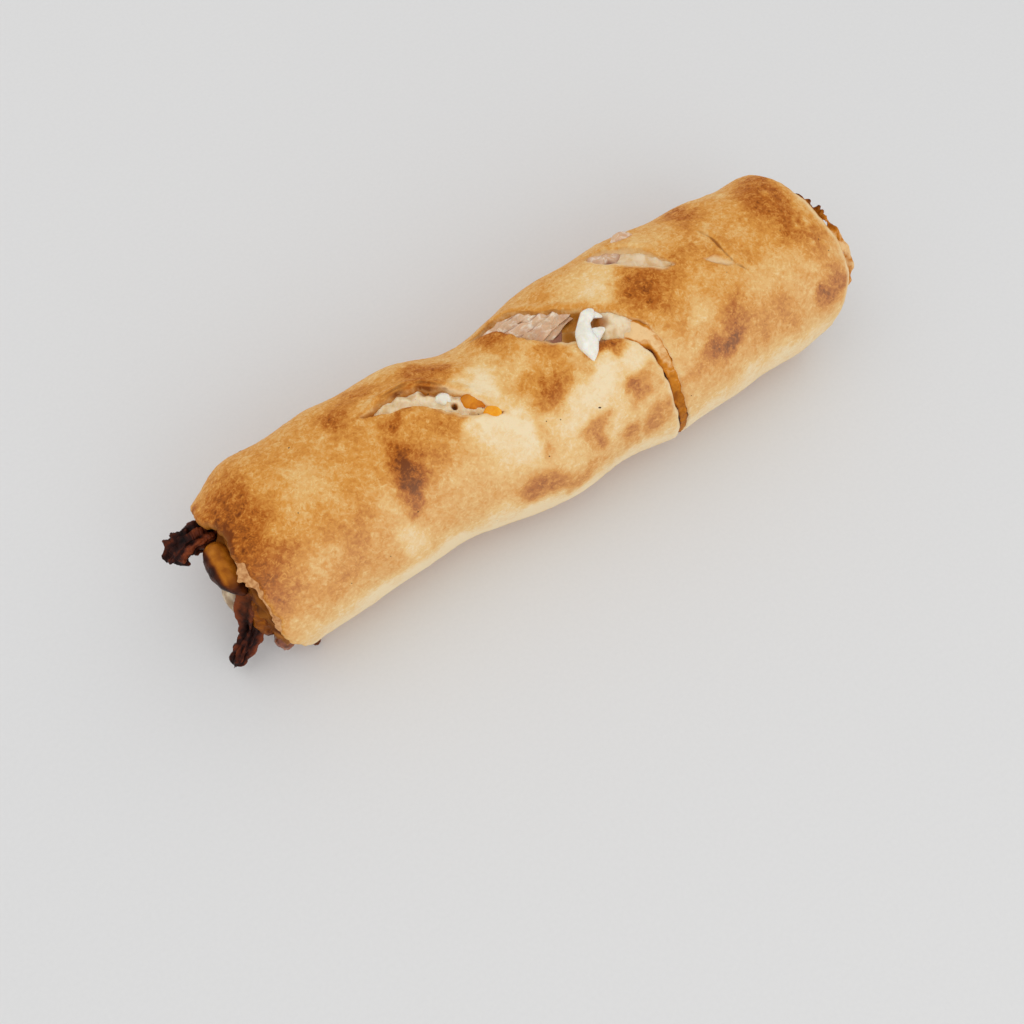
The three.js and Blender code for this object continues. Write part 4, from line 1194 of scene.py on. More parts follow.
# Small holes in that filling: slit, share along it, place across it, its reach both ways and its depth
PITS = (("near", 0.72, 0.25, 0.022, 0.28, 1.0), ("near", 0.54, -0.8, 0.07, 0.35, 0.5),
        ("middle", 0.725, -0.4, 0.045, 0.55, 1.0), ("far", 0.3, 0.4, 0.05, 0.35, 1.0))
PIT_DEPTH = 1.8

# Folded slices of meat in the middle slit: shares along it, slant, and inset at the free and buried end
MEAT_SLICES = ((0.02, 0.24, -0.04, 1.2, 1.6), (0.14, 0.36, -0.08, 0.9, 1.8), (0.27, 0.48, -0.1, 0.7, 1.8),
               (0.36, 0.51, -0.09, 0.8, 3.2))
SLICE_ROWS, SLICE_COLUMNS, SLICE_SIDES = 44, 34, (-1.2, 1.02)
SLICE_THICKNESS, SLICE_MIDDLE = 0.5, 2.0
SLICE_TILT, SLICE_DISH, SLICE_LUMPS = 0.9, 0.4, 0.2
FOLD_LENGTH, FOLD_HEIGHT, FOLD_FROM = 0.08, 0.24, (0.05, 0.3)
SLICE_RIM = 0.05


def strip(slit, start, end, first, last, lumps, first_slope, last_slope, seed):
    """A soft lumpy strip of filling that lies in a slit, with how deep its ends and its pits are."""
    shape = SLITS[slit]
    share = np.linspace(start, end, STRIP_ROWS)[:, None]
    side = np.linspace(-STRIP_SIDE, STRIP_SIDE, STRIP_COLUMNS)[None]
    where = (share - start) / (end - start)
    flat = slit_points(shape, share, side, STRIP_MIDDLE)
    inset = first + (last - first) * where + STRIP_TILT * side + STRIP_DISH * side**4
    inset = inset + lumps * unevenness(flat, STRIP_LUMP, seed)
    inset = inset + STRIP_GRAIN_SHARE * lumps * unevenness(flat, STRIP_GRAIN, seed + 1)
    ends = smooth_step(where, 0, first_slope) * smooth_step(1 - where, 0, last_slope)
    inset = STRIP_FLOOR + ends * (inset - STRIP_FLOOR)
    pit = 0 * inset
    for place, at, across, along, wide, depth in PITS:
        if place == slit:
            pit = pit + depth * np.exp(-(((share - at) / along) ** 2 + ((side - across) / wide) ** 2) ** 2)
    inset = np.clip(inset + PIT_DEPTH * pit, STRIP_TOP, STRIP_FLOOR)
    top = slit_points(shape, share, side, inset)
    points, faces = slab(top, slit_points(shape, share, side, STRIP_BASE))
    # Where the strip slopes into the gaps, coloured amber or brown partly as painted shade, with more toward
    # its end
    deep = np.clip(1.4 * (1 - ends), 0, 1) + 0.3 * smooth_step(where, 0.6, 1) + 0 * side
    return points, faces, np.tile(deep.ravel(), 2), np.tile(pit.ravel(), 2)


def slice_of_meat(start, end, slant, free, buried, seed):
    """A thin softly folded slice that sinks into the slit from one free edge."""
    shape = SLITS["middle"]
    out = np.linspace(0, 1, SLICE_ROWS)[:, None]
    side = np.linspace(*SLICE_SIDES, SLICE_COLUMNS)[None]
    share = start + (end - start) * out + slant * side + 0.006 * np.sin(5 * side + seed)
    flat = slit_points(shape, share, side, SLICE_MIDDLE)
    across = 2 * np.pi * (share - slant * side) / FOLD_LENGTH
    across = across + 0.7 * side + 1.6 * unevenness(flat, 8, seed + 5)
    folds = np.sin(across + seed) * smooth_step(out, *FOLD_FROM)
    inset = free + (buried - free) * out**0.8 + FOLD_HEIGHT * folds + SLICE_TILT * side + SLICE_DISH * side**4
    inset = inset + SLICE_LUMPS * unevenness(flat, 6, seed)
    top = slit_points(shape, share, side, inset)
    points, faces = slab(top, slit_points(shape, share, side, inset + SLICE_THICKNESS))
    rim = smooth_step(SLICE_RIM - out, 0, SLICE_RIM) * (0.5 + 0.4 * np.sin(4 * side + seed))
    rim = np.maximum(rim, 0.4 * smooth_step(-side, 1.0, 1.15))
    return points, faces, np.tile(rim.ravel(), 2)


def joined(parts):
    """Points, faces and values of several closed meshes as one."""
    points, faces, levels, start = [], [], [], 0
    for part_points, part_faces, values in parts:
        points.append(part_points)
        faces.extend([[int(i) + start for i in face] for face in outward(part_points, part_faces)])
        levels.append(np.broadcast_to(values, len(part_points)))
        start += len(part_points)
    return np.concatenate(points), faces, np.concatenate(levels)


class STROMBOLI_OT_meat(bpy.types.Operator):
    """Builds the meat inside the roll and its slices in the slits"""

    bl_idname = "stromboli.meat"
    bl_label = "Build Meat"

    def execute(self, context):
        look = context.scene.stromboli.filling
        core = core_piece("meat_core", True)
        core.data.materials.append(meat_finish(look, "browned_meat", roughness=0.6, gloss=0.08))
        kept(core, "meat", "meat_filling")
        parts = []
        for k, (row, tan) in enumerate(zip(MEAT_STRIPS, MEAT_TANS)):
            points, faces, deep, pit = strip(*row, seed=FILLING_SEEDS["meat"] + k)
            parts.append((points, faces, tan + MEAT_ENDS * deep + pit))
        parts += [slice_of_meat(*row, seed=FILLING_SEEDS["slices"] + k) for k, row in enumerate(MEAT_SLICES)]
        points, faces, rim = joined(parts)
        slices = mesh_piece("meat_slices", points, faces, {"rim": rim, "scorch": np.zeros(len(points))})
        slices.data.materials.append(meat_finish(look))
        kept(slices, "meat")
        return {"FINISHED"}


class STROMBOLI_OT_cheese(bpy.types.Operator):
    """Builds the cheese inside the roll, what shows of it in the slits and the herbs on it"""

    bl_idname = "stromboli.cheese"
    bl_label = "Build Cheese"

    def execute(self, context):
        look = context.scene.stromboli.filling
        core = core_piece("cheese_core", False)
        browned = cheese_finish("browned_filling", look.cheese, CHEESE_SHADE, 0.6, glow=0.05, gloss=0.06)
        core.data.materials.append(browned)
        kept(core, "cheese", "cheese_filling")
        parts, pits, herby = [], [], []
        for k, (row, (tan, amber, dark, herbs)) in enumerate(zip(CHEESE_STRIPS, CHEESE_LOOKS)):
            points, faces, deep, pit = strip(*row, seed=FILLING_SEEDS["cheese"] + 2 * k)
            parts.append((points, faces, amber * deep + tan))
            pits.append(dark * pit)
            herby.append(np.full(len(points), herbs))
        points, faces, rim = joined(parts)
        levels = {"rim": rim, "scorch": np.concatenate(pits), "bits": np.concatenate(herby)}
        strips = mesh_piece("slit_cheese", points, faces, levels)
        flecks = copied_piece("herb_flecks", strips)
        strips.data.materials.append(cheese_finish("melted_cheese", look.cheese, CHEESE_SHADE, 0.35))
        kept(strips, "cheese")
        green = plain_finish("dried_herbs", srgb(74, 56, 28), srgb(104, 82, 44), 0.8)
        run_tree(flecks, scatter_tree(), material=green, **HERBS)
        kept(flecks, "charred")
        return {"FINISHED"}


# Browned cheese in the front split: its mesh, its dish, its dip at the top and how its front edge tucks in
SEAM = {"end": 0.975, "side": 1.2, "rows": 150, "columns": 26, "inset": 0.3, "dish": 0.25,
        "dip": 2.4, "dip_share": 0.12, "tuck": 0.25}
# Its lumps, creases, spots and patches: how much, size and seed
SEAM_LUMPS, SEAM_CREASES = (0.12, 4, 61), (0.08, 1.7, 62)
SEAM_SPOTS, SEAM_PATCHES = (0.05, 7, 63), (0.5, 9, 64)
# How browned it is at its top, down its length, at its edges, in one dark patch and along the edge below
# that.
# The dark edges and the dark patch are partly burnt cheese and partly painted shade of the lip beside them.
SEAM_BROWNING = {"top": -0.03, "length": 0.48, "edges": 0.6, "back_edge": 0.7, "patch": 0.75,
                 "patch_share": 0.3, "patch_reach": 0.07, "below": 0.22, "paler_top": 0.04}


def seam_mesh():
    """The ribbon of browned cheese, with how browned it is, its edges darker partly as painted shade of the
    lips.
    """
    split = SLITS["front"]
    share = np.linspace(0, SEAM["end"], SEAM["rows"])[:, None]
    side = np.linspace(-SEAM["side"], SEAM["side"], SEAM["columns"])[None]
    flat = slit_points(split, share, side, SEAM["inset"])
    inset = SEAM["inset"] + SEAM["dish"] * side**2 + uneven_by(flat, *SEAM_LUMPS)
    inset = inset - np.abs(uneven_by(flat, *SEAM_CREASES)) + SEAM["tuck"] * smooth_step(side, 0.75, 1.0)
    inset = inset + SEAM["dip"] * smooth_step(SEAM["dip_share"] - share, 0, SEAM["dip_share"])
    top = slit_points(split, share, side, inset)
    points, faces = slab(top, slit_points(split, share, side, POCKET))
    look = SEAM_BROWNING
    patchy = np.clip(0.6 + uneven_by(flat, *SEAM_PATCHES), 0, 1)
    edges = smooth_step(side, 0.66, 0.95) + look["back_edge"] * smooth_step(-side, 0.8, 1.0)
    scorch = look["top"] + look["length"] * smooth_step(share, 0.1, 0.8) + look["edges"] * patchy * edges
    patch = bell(share, look["patch_share"], look["patch_reach"]) * smooth_step(side, 0.2, 0.9)
    below = patchy * smooth_step(side, 0.3, 0.95) * smooth_step(share, 0.24, 0.36)
    scorch = scorch + look["patch"] * patch + look["below"] * below
    scorch = scorch + uneven_by(flat, *SEAM_SPOTS) - look["paler_top"] * smooth_step(0.24 - share, 0, 0.12)
    return points, faces, {"scorch": np.tile(scorch.ravel(), 2)}


class STROMBOLI_OT_seam(bpy.types.Operator):
    """Builds the browned cheese that fills the split down the front"""

    bl_idname = "stromboli.seam"
    bl_label = "Build Seam"

    def execute(self, context):
        look = context.scene.stromboli.filling
        seam = mesh_piece("seam_ribbon", *seam_mesh())
        seam.data.materials.append(browned_finish("browned_seam", look, 0.5, 0.12))
        kept(seam, "browned_cheese", "seam_cheese")
        return {"FINISHED"}


# Spilled, pulled and burnt pieces, on the skin as station, turn and lift, or at the roll's millimetres
ALONG_ROLL, ACROSS_ROLL = (1, 0, 0), (0, 1, 0)
PULL = (
    {"path": ((150.5, 80.5, -2), (148.8, 82.3, 0.4), (145.6, 85.6, 1.1), (143, 90.5, 1.6), (142, 95.5, 1.8),
              (141.4, 100, 1.2), (140.6, 104.5, 0.1)),
     "widths": (2.0, 2.6, 2.2, 3.2, 3.8, 2.6, 0.8), "heights": (1.4, 1.9, 1.7, 2.3, 2.6, 1.8, 0.7),
     "across": ALONG_ROLL},
    {"path": ((142.5, 94, 0.8), (146, 93.2, 0.8), (149, 92.4, -0.4), (151.4, 92.2, -1.7)),
     "widths": (3.6, 2.7, 1.6, 0.5), "heights": (2.0, 1.5, 0.9, 0.4), "across": ACROSS_ROLL},
    {"path": ((147.5, 82.4, 0.2), (150, 83.4, -0.1), (151.8, 85, -0.9), (153.2, 86.6, -1.9)),
     "widths": (2.2, 1.6, 1.1, 0.5), "heights": (1.5, 1.1, 0.7, 0.4), "across": ACROSS_ROLL},
)
ORANGE = (
    {"path": ((94.5, 85, -2.3), (97, 87.5, -1.0), (100.8, 92.5, -1.0)), "widths": (1.7, 2.9, 1.8),
     "heights": (1.0, 1.9, 1.0), "across": ACROSS_ROLL},
    {"path": ((98.6, 95, -1.8), (101.4, 96.4, -0.9), (104.2, 98.4, -0.6)), "widths": (1.1, 2.5, 1.8),
     "heights": (0.9, 1.7, 1.1), "across": ACROSS_ROLL},
)
# How much darker each melt is at its start, and the shades of each melt: the first melt's darker start and
# darker pair are partly browning and partly painted shade under the upper lip
ORANGE_BROWNING_AND_SHADE = (0.2, 0.0)
ORANGE_SHADES = (((232, 146, 26), (190, 98, 0)), ((255, 184, 48), (238, 150, 18)))
BUBBLE = {"path": ((-0.2, 11.5, 37), (-1.6, 6.5, 39.5), (-1.4, -0.5, 39.5), (0.2, -8, 34.5)),
          "widths": (2.2, 5.0, 5.4, 2.2), "heights": (2.2, 6.0, 6.5, 2.2), "across": ALONG_ROLL}
SPILL = {"path": ((3, 3, 25), (-1.4, 0.5, 20), (-2.8, -5.5, 13.5), (-2, -9.5, 9)),
         "widths": (3, 5.4, 3.8, 1.8), "heights": (3, 4.6, 3, 1.6), "across": ALONG_ROLL}
BURNT = {
    "upper": {"path": ((3, 16.5, 36), (-3, 17, 38), (-8, 17, 39), (-12, 16.5, 38), (-14.5, 16, 36.5)),
              "widths": (3.6, 4.0, 4.6, 5.2, 4.4), "heights": (2.6, 2.8, 2.8, 2.6, 2.0),
              "across": ACROSS_ROLL},
    "lower": {"path": ((5, -7.5, 29), (0.5, -10, 24.5), (-4.8, -13.8, 17), (-10.5, -16.4, 11),
                       (-15.6, -18.7, 6.5)),
              "widths": (5.0, 4.8, 3.3, 2.5, 2.0), "heights": (3.4, 3.4, 2.6, 2.1, 1.6),
              "across": (-0.4, 1, 0.3)},
}
# Their surface: depth of fibres and chips, how torn the tip is, and how brown the root and black the tip are
BURNT_LOOKS = {"upper": {"fibres": 0.55, "chips": 0.5, "torn": 1.6, "root": 0.0, "tip": 0.1},
               "lower": {"fibres": 0.6, "chips": 0.2, "torn": 0.6, "root": 0.6, "tip": 0.3}}
BURNT_SEED = 81
# Grain of that surface: sizes of the fibres and how they drift along, size and steps of the chips, the tip
FIBRE_SIZES, FIBRE_DRIFT = (2.6, 1.2), 2.5
CHIP_SIZE, CHIP_STEPS = 3.6, 1.4
TIP_FROM, TIP_SIZE = 0.7, 3
WEB = {"path": ((3.5, -8.5, 31), (2.0, -12.5, 25.5), (1.4, -15.8, 19), (1.2, -17.8, 12)),
       "widths": (2.4, 4.2, 4.2, 2.0), "heights": (2.4, 3.2, 3.0, 1.6), "across": ALONG_ROLL}
SCRAP = {"path": ((4.5, -17, 11), (3.6, -20, 9), (3, -24.5, 7)), "widths": (1.8, 3.4, 2.0),
         "heights": (1.8, 3.2, 1.8), "across": ALONG_ROLL}
CURD = {"path": ((87.6, 79.4, -2.3), (90.0, 81.8, -1.2), (92.4, 84.2, -2.1)), "widths": (1.3, 2.2, 1.3),
        "heights": (0.9, 1.6, 0.9), "across": ACROSS_ROLL}
BACK_SCRAP = {"path": ((176, 41, -0.8), (179, 40.5, 0.5), (182, 42, 0.4), (185, 44, -0.6)),
              "widths": (1.0, 1.7, 1.6, 0.9), "heights": (0.7, 1.2, 1.1, 0.7), "across": ACROSS_ROLL}
TORN_EDGE = {"turns": (90, 154), "fades": 5, "root": 2.2, "plain": 0.5, "held_back": 0.8, "thickness": 0.8,
             "thinner": 0.7, "rows": 16, "columns": 200}
# Where the torn edge reaches out: turn, reach round, millimetres
TORN_FLAPS = ((102, 4, 3.0), (108.5, 4, 2.6), (123, 5, 0.6), (141, 6, 1.2))
FINGER_LENGTH = 3.6
CRUMB = {"path": ((11.4, -25.4, 1.6), (12.6, -25.6, 2.2), (14.0, -25.4, 1.8)), "widths": (0.7, 1.3, 0.8),
         "heights": (0.6, 1.2, 0.7), "across": ACROSS_ROLL}


def on_skin(shape):
    path = [skin(station, turn, -lift) for station, turn, lift in shape["path"]]
    return {**shape, "path": path}


def lump_piece(name, shape, levels, steps=44, sides=32):
    """A rounded lump with values from its points and from the share along it."""
    points, faces = tube(lump_rings(**shape, steps=steps, sides=sides))
    share = np.append(np.repeat(np.linspace(0, 1, steps), sides), (0, 1))
    return mesh_piece(name, points, faces, {label: value(points, share) for label, value in levels.items()})


def fibrous(rings, depth, chips, torn, seed):
    """Rings with ridges that run along them, chipped faces and a torn tip, and how high each point stands."""
    heart = rings.mean(1, keepdims=True)
    out = rings - heart
    way = out / np.maximum(np.linalg.norm(out, axis=-1, keepdims=True), 0.05)
    drift = np.linspace(0, FIBRE_DRIFT, len(rings))[:, None, None] * np.ones(3)
    coarse, fine = (unevenness(4 * way + drift, size, seed + k) for k, size in enumerate(FIBRE_SIZES))
    fibre = coarse + 0.5 * fine
    stepped = np.round(CHIP_STEPS * unevenness(rings, CHIP_SIZE, seed + 2)) / CHIP_STEPS
    along = np.gradient(heart, axis=0)
    along /= np.linalg.norm(along, axis=-1, keepdims=True)
    share = np.linspace(0, 1, len(rings))[:, None]
    tip = smooth_step(share, TIP_FROM, 1) * unevenness(4 * way, TIP_SIZE, seed + 3)
    return rings + way * (depth * fibre + chips * stepped)[..., None] + torn * along * tip[..., None], fibre


def torn_edge():
    """A thin ragged edge of torn dough along the near lip, with a few fingered flaps."""
    out = np.linspace(0, 1, TORN_EDGE["rows"])[:, None]
    first, last = TORN_EDGE["turns"]
    turn = np.linspace(first, last, TORN_EDGE["columns"])[None]
    reach = TORN_EDGE["plain"] + sum(far * bell(turn, at, wide) for at, wide, far in TORN_FLAPS)
    line = np.stack([ARC_PER_DEGREE * turn, 0 * turn, 0 * turn], -1)
    ragged = unevenness(line, FINGER_LENGTH, 91) + 0.25 * unevenness(line, 0.4 * FINGER_LENGTH, 92)
    fingers = np.clip(0.85 + 0.16 * ragged, 0.5, 1.1)
    ends = within(turn, (first, first + TORN_EDGE["fades"]), (last - TORN_EDGE["fades"], last))
    reach = reach * fingers * ends - TORN_EDGE["held_back"] * (1 - ends)
    station = drawn_lip(turn) + TORN_EDGE["root"] * (1 - out) - out * reach
    inset = 0.4 + 0.8 * out + 0.2 * ragged * out
    thickness = TORN_EDGE["thickness"] * (1 - TORN_EDGE["thinner"] * out)
    return slab(skin(station, turn, inset), skin(station, turn, inset + thickness))


def nowhere(points, share):
    return 0 * share


def bubble_browning(points, share):
    """Golden, and dark on the outer face and at the front end, and darker where it meets the filling as
    painted shade under the lip.
    """
    outer = smooth_step(-points[:, 0], 3.4, 5.2)
    front = smooth_step(share, 0.68, 0.84)
    root = smooth_step(points[:, 0], 0.5, 3.5)
    return 0.46 + 0.5 * outer + 0.45 * front + 0.2 * root + 0.04 * unevenness(points, 4, 66)


UNBROWNED = {"rim": nowhere, "scorch": nowhere}
SPILL_EDGE = {**UNBROWNED, "rim": lambda points, share: 0.5 * smooth_step(share, 0.75, 1)}
WEB_BROWNING = {"scorch": lambda points, share: 0.6 + 0.25 * smooth_step(share, 0.5, 1.0)}
SCRAP_BROWNING = {"rim": lambda points, share: 0.75 + 0.2 * unevenness(points, 3, 67),
                  "scorch": lambda points, share: 0.42 + 0.2 * unevenness(points, 2.5, 68)}
CRUMB_CHAR = {"root": lambda points, share: 0.7 + 0 * share, "fibre": nowhere}
# Crags of these pieces: height, size and size of pits in millimetres, and seed
CRAGS = {
    "pulled_cheese": (0.25, 6, 5, 2.0),
    "orange_melt_1": (0.3, 3, 3, 5.0),
    "orange_melt_2": (0.3, 3, 3, 6.0),
    "white_curd": (0.6, 4, 3, 6.0),
    "golden_bubble": (0.5, 4, 3, 8.0),
    "pale_spill": (0.9, 6, 4, 9.0),
    "burnt_strip_upper": (0.7, 3, 2, 12.0),
    "burnt_strip_lower": (0.4, 3, 2, 12.0),
    "amber_web": (0.8, 4, 3, 13.0),
    "meat_rag": (1.2, 3, 2.6, 14.0),
    "back_scrap": (0.9, 3, 2.6, 18.0),
    "crust_crumb": (0.6, 1.6, 1.5, 15.0),
    "fried_frill": (0.4, 3, 2.5, 16.0),
}


def craggy(piece, tree, material):
    """Gives a piece its crags and its finish. A second build numbers the name, which doesn't count here."""
    height, size, pit_size, seed = CRAGS[piece.name.split(".")[0]]
    run_tree(piece, tree, crag_height=height * MM, crag_size=size * MM, pit_size=pit_size * MM, seed=seed,
             material=material)


class STROMBOLI_OT_spills(bpy.types.Operator):
    """Builds the cheese that has been pulled, melted or spilled out"""

    bl_idname = "stromboli.spills"
    bl_label = "Build Spills"

    def execute(self, context):
        look = context.scene.stromboli.filling
        crags = crag_tree()
        white = cheese_finish("white_cheese", look.white_cheese, srgb(234, 229, 212), 0.2)
        strands = [tube(lump_rings(**on_skin(shape), steps=60, sides=36, blunt=8)) for shape in PULL]
        points, faces, plain = joined([(*strand, 0.0) for strand in strands])
        pull = mesh_piece("pulled_cheese", points, faces, {"rim": plain, "scorch": plain})
        craggy(pull, crags, white)
        kept(pull, "white_cheese", "cheese_pull")
        for number, (shape, brown, shades) in enumerate(zip(ORANGE, ORANGE_BROWNING_AND_SHADE, ORANGE_SHADES), 1):
            levels = {**UNBROWNED, "scorch": lambda points, share: brown * (1 - share)}
            melt = lump_piece(f"orange_melt_{number}", on_skin(shape), levels)
            shades = [srgb(*shade) for shade in shades]
            craggy(melt, crags, cheese_finish(f"orange_cheese_{number}", *shades, 0.25, glow=0.1, gloss=0.2))
            kept(melt, "orange_cheese", f"orange_cheese_{number}")
        curd = lump_piece("white_curd", on_skin(CURD), UNBROWNED)
        craggy(curd, crags, white)
        kept(curd, "white_cheese")
        bubble = lump_piece("golden_bubble", BUBBLE, {"scorch": bubble_browning}, steps=70, sides=60)
        craggy(bubble, crags, browned_finish("browned_bubble", look, 0.4, 0.05))
        kept(bubble, "browned_cheese", "cheese_bubble")
        spill = lump_piece("pale_spill", SPILL, SPILL_EDGE)
        craggy(spill, crags, cheese_finish("pale_spill", srgb(222, 204, 174), srgb(168, 138, 104), 0.3))
        kept(spill, "cheese", "cheese_spill")
        return {"FINISHED"}


class STROMBOLI_OT_burnt(bpy.types.Operator):
    """Builds the burnt strips, the torn lip and the crumb at the near end, and the scraps of meat"""

    bl_idname = "stromboli.burnt"
    bl_label = "Build Burnt End"

    def execute(self, context):
        look = context.scene.stromboli.filling
        crags = crag_tree()
        char = charred_finish(look)
        meat = meat_finish(look)
        for number, (place, shape) in enumerate(BURNT.items()):
            surface = BURNT_LOOKS[place]
            rings = lump_rings(**shape, steps=140, sides=110, blunt=30, boxy=0.5)
            rings, fibre = fibrous(
                rings, surface["fibres"], surface["chips"], surface["torn"], BURNT_SEED + 4 * number
            )
            points, faces = tube(rings)
            share = np.linspace(0, 1, len(rings))
            root = surface["root"] * smooth_step(0.5 - share, 0, 0.5)
            root = root - surface["tip"] * smooth_step(share, 0.55, 1)
            levels = {"root": np.append(np.repeat(root, rings.shape[1]), (root[0], root[-1])),
                      "fibre": np.append(fibre.ravel(), (0, 0))}
            burnt = mesh_piece(f"burnt_strip_{place}", points, faces, levels)
            craggy(burnt, crags, char)
            kept(burnt, "charred", f"charred_strip_{place}")
        web = lump_piece("amber_web", WEB, WEB_BROWNING, steps=60, sides=48)
        craggy(web, crags, browned_finish("browned_web", look, 0.3, 0.16))
        kept(web, "browned_cheese")
        scrap = lump_piece("meat_rag", SCRAP, SCRAP_BROWNING, steps=60, sides=50)
        craggy(scrap, crags, meat)
        kept(scrap, "meat", "meat_scrap")
        flakes = mesh_piece("torn_flakes", *torn_edge(), {})
        dough = plain_finish("torn_dough", srgb(218, 164, 106), srgb(178, 116, 60), 0.6, spread=0.14)
        flakes.data.materials.append(dough)
        kept(flakes, "crust")
        back = lump_piece("back_scrap", on_skin(BACK_SCRAP), UNBROWNED)
        craggy(back, crags, meat)
        kept(back, "meat")
        crumb = lump_piece("crust_crumb", CRUMB, CRUMB_CHAR)
        craggy(crumb, crags, char)
        kept(crumb, "charred")
        return {"FINISHED"}


# Crisp frill at the far end: a thin band with a ragged edge and small holes
FRILL = {"from_turn": 66, "to_turn": 166, "root_station": 240, "root_inset": 8.2, "past_lip": 0.8,
         "rise": 1.0, "flare": 2.8, "stands_out": 2.2, "shortest": 2.2, "spread": 3.8, "thickness": 0.9,
         "columns": 190, "rows": 30}
FRILL_RING = 30
# Its flakes, swell, waves and spots: how much, size and seed
FRILL_FLAKES, FRILL_SWELL = ((1.1, 6, 71), (0.9, 2.4, 72)), (0.3, 9, 75)
FRILL_WAVES, FRILL_SPOTS = (0.8, 7, 73), (0.1, 5, 74)
# Its flaky part ends at this turn, its dark part at the next, its amber part at the last
FLAKY_UNTIL, DARK_UNTIL, AMBER_UNTIL = 104, 102, 126
# Its holes: turn, share of the way out, and reach both ways
FRILL_HOLES = ((101, 0.7, 3.2, 0.2), (118, 0.74, 1.2, 0.05), (131, 0.72, 1.4, 0.05))


def frill_sheet():
    """The frill's points, faces without its holes, and how scorched it is."""
    out = np.linspace(0, 1, FRILL["rows"])[:, None]
    share = np.linspace(0, 1, FRILL["columns"])[None]
    turn = FRILL["from_turn"] + share * (FRILL["to_turn"] - FRILL["from_turn"])
    angle = np.radians(turn)
    ring = np.stack([0 * turn, FRILL_RING * np.cos(angle), FRILL_RING * np.sin(angle)], -1)
    flaky = 0.05 + 0.95 * smooth_step(FLAKY_UNTIL - turn, 0, 14)
    ragged = flaky * sum(uneven_by(ring, *row) for row in FRILL_FLAKES) + uneven_by(ring, *FRILL_SWELL)
    reach = FRILL["stands_out"] + FRILL["spread"] * np.sqrt(share) + ragged
    reach = np.maximum(reach, FRILL["shortest"])
    reach = reach * (1 - 0.75 * smooth_step(share, 0.9, 1.0))
    lip = far_lip(turn)
    bend = lip + FRILL["past_lip"]
    station = np.where(out < 0.5, FRILL["root_station"] + (bend - FRILL["root_station"]) * 2 * out,
                       bend + (lip + reach - bend) * (2 * out - 1))
    bend_inset = FRILL["root_inset"] - FRILL["rise"]
    inset = np.where(out < 0.5, FRILL["root_inset"] - 2 * out * FRILL["rise"],
                     bend_inset - (2 * out - 1) * FRILL["flare"])
    flat = skin(station, turn, inset)
    inset = inset - FRILL["thickness"] + out**2 * uneven_by(flat, *FRILL_WAVES)
    points = skin(station, turn, inset)
    holes = np.zeros(points.shape[:2], bool)
    for at, level_out, wide, deep in FRILL_HOLES:
        holes |= ((turn - at) / wide) ** 2 + ((out - level_out) / deep) ** 2 < 1
    faces = grid_faces(*points.shape[:2])
    faces = faces[~holes.ravel()[faces].any(1)]
    tip = 0.5 * smooth_step(turn, 160, 165)
    band = 0.14 * smooth_step(out, 0.7, 0.95) + 0.1 * smooth_step(AMBER_UNTIL - turn, 0, 14)
    scorch = band + 0.42 * smooth_step(DARK_UNTIL - turn, 0, 10) + tip + uneven_by(flat, *FRILL_SPOTS)
    return points, faces, scorch


class STROMBOLI_OT_frill(bpy.types.Operator):
    """Builds the crisp frill of fried cheese at the far end"""

    bl_idname = "stromboli.frill"
    bl_label = "Build Frill"

    def execute(self, context):
        look = context.scene.stromboli.filling
        points, faces, scorch = frill_sheet()
        frill = mesh_piece("fried_frill", points, faces, {"scorch": scorch})
        wall = frill.modifiers.new("wall", "SOLIDIFY")
        wall.thickness = FRILL["thickness"] * MM
        wall.offset = 0
        craggy(frill, crag_tree(), browned_finish("fried_cheese", look, 0.5, 0.16))
        kept(frill, "crisp_cheese", "crisp_frill")
        return {"FINISHED"}


# Stage


CAMERA_AT = (3.3, -132.8, 400.2)
CAMERA_LOOKS = (0.2265, 0.2623, -0.938)
CAMERA_UP = (0.4976, 0.7967, 0.343)
FLOOR_SIZE, FLOOR_SHADE = 4.0, 0.95
KEY_AT = (-0.4, 0.4, 1.1)
FRONT_AT = (0.1, -1.1, 0.7)
LIGHT_SIZE = 0.9


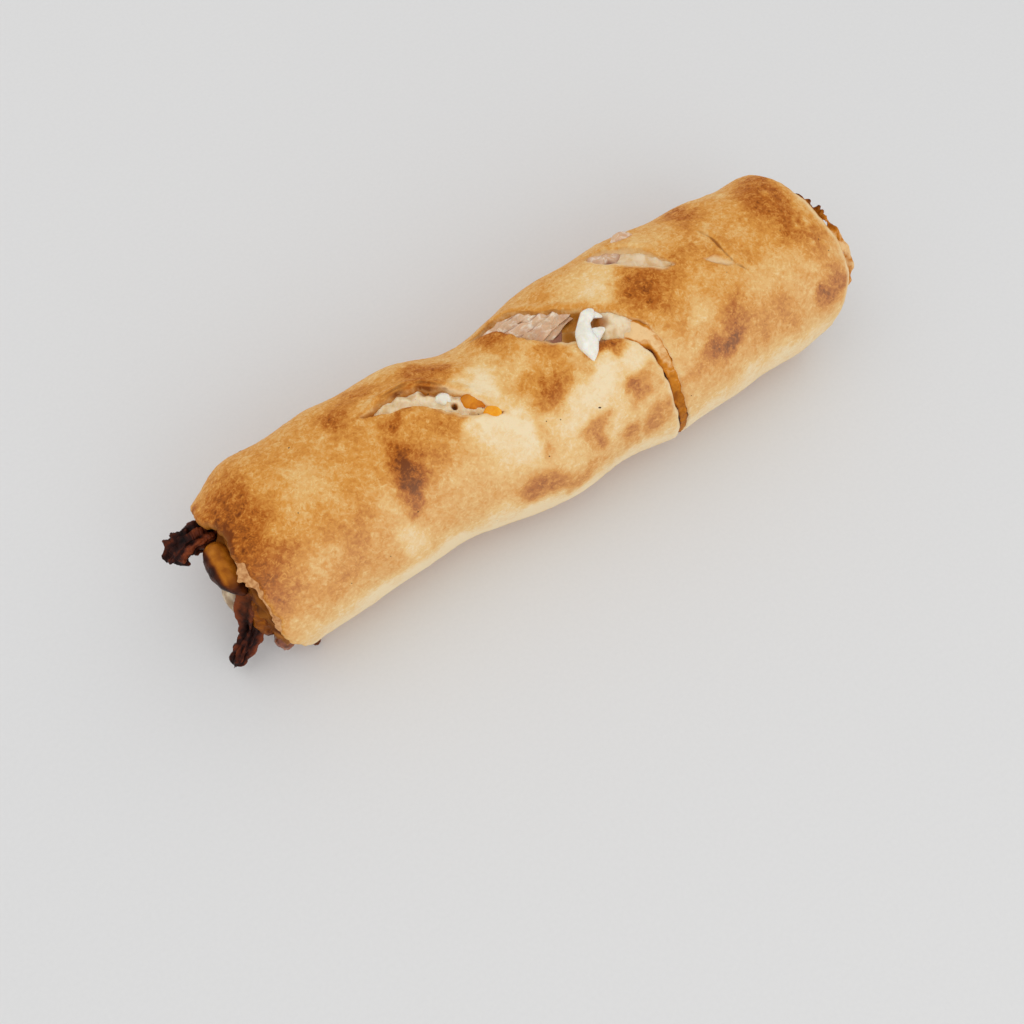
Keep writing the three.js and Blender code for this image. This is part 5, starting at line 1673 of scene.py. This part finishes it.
class STROMBOLI_OT_stage(bpy.types.Operator):
    """Builds the floor, the soft light and the camera"""

    bl_idname = "stromboli.stage"
    bl_label = "Build Stage"

    def execute(self, context):
        look = context.scene.stromboli.stage
        half = FLOOR_SIZE / 2
        corners = [(-half, -half, 0), (half, -half, 0), (half, half, 0), (-half, half, 0)]
        mesh = bpy.data.meshes.new("floor")
        mesh.from_pydata(corners, [], [(0, 1, 2, 3)])
        floor = bpy.data.objects.new("floor", mesh)
        context.scene.collection.objects.link(floor)
        shade = tuple(FLOOR_SHADE * part for part in look.floor)
        mesh.materials.append(plain_finish("pale_floor", look.floor, shade, 0.7))
        for name, power, place in (("key", look.key_power, KEY_AT), ("front", look.front_power, FRONT_AT)):
            light = bpy.data.lights.new(name, "AREA")
            light.size = LIGHT_SIZE
            light.energy = power
            lamp = bpy.data.objects.new(name, light)
            lamp.location = place
            lamp.rotation_euler = (-Vector(place)).to_track_quat("-Z", "Y").to_euler()
            context.scene.collection.objects.link(lamp)
        world = bpy.data.worlds.new("soft_room")
        world.use_nodes = True
        world.node_tree.nodes["Background"].inputs["Color"].default_value = (1, 1, 1, 1)
        world.node_tree.nodes["Background"].inputs["Strength"].default_value = look.fill
        context.scene.world = world
        context.scene.view_settings.view_transform = "Standard"
        camera = bpy.data.cameras.new("camera")
        camera.lens = look.lens
        camera.clip_start, camera.clip_end = 0.01, 20
        view = bpy.data.objects.new("camera", camera)
        back = -Vector(CAMERA_LOOKS).normalized()
        right = Vector(CAMERA_UP).cross(back).normalized()
        turned = Matrix((right, back.cross(right), back)).transposed()
        view.matrix_world = Matrix.Translation(placed(CAMERA_AT)) @ turned.to_4x4()
        context.scene.collection.objects.link(view)
        context.scene.camera = view
        return {"FINISHED"}


class STROMBOLI_PT_panel(bpy.types.Panel):
    """Lists the settings and the pieces to build"""

    bl_idname = "STROMBOLI_PT_panel"
    bl_label = "Baked Stromboli"
    bl_space_type = "VIEW_3D"
    bl_region_type = "UI"
    bl_category = "Stromboli"

    def draw(self, context):
        settings = context.scene.stromboli
        for group in (settings.crust, settings.filling, settings.stage):
            box = self.layout.box()
            for name in group.__annotations__:
                box.prop(group, name)
        for operator in OPERATORS:
            self.layout.operator(operator.bl_idname)


OPERATORS = (
    STROMBOLI_OT_stage, STROMBOLI_OT_dough, STROMBOLI_OT_meat, STROMBOLI_OT_cheese, STROMBOLI_OT_seam,
    STROMBOLI_OT_spills, STROMBOLI_OT_burnt, STROMBOLI_OT_frill,
)
CLASSES = (CrustSettings, FillingSettings, StageSettings, StromboliSettings, *OPERATORS, STROMBOLI_PT_panel)


def register():
    for kind in CLASSES:
        bpy.utils.register_class(kind)
    bpy.types.Scene.stromboli = PointerProperty(type=StromboliSettings)


def unregister():
    del bpy.types.Scene.stromboli
    for kind in reversed(CLASSES):
        bpy.utils.unregister_class(kind)


def main():
    register()
    bpy.ops.stromboli.stage()
    bpy.ops.stromboli.dough()
    bpy.ops.stromboli.meat()
    bpy.ops.stromboli.cheese()
    bpy.ops.stromboli.seam()
    bpy.ops.stromboli.spills()
    bpy.ops.stromboli.burnt()
    bpy.ops.stromboli.frill()


if __name__ == "__main__":
    main()
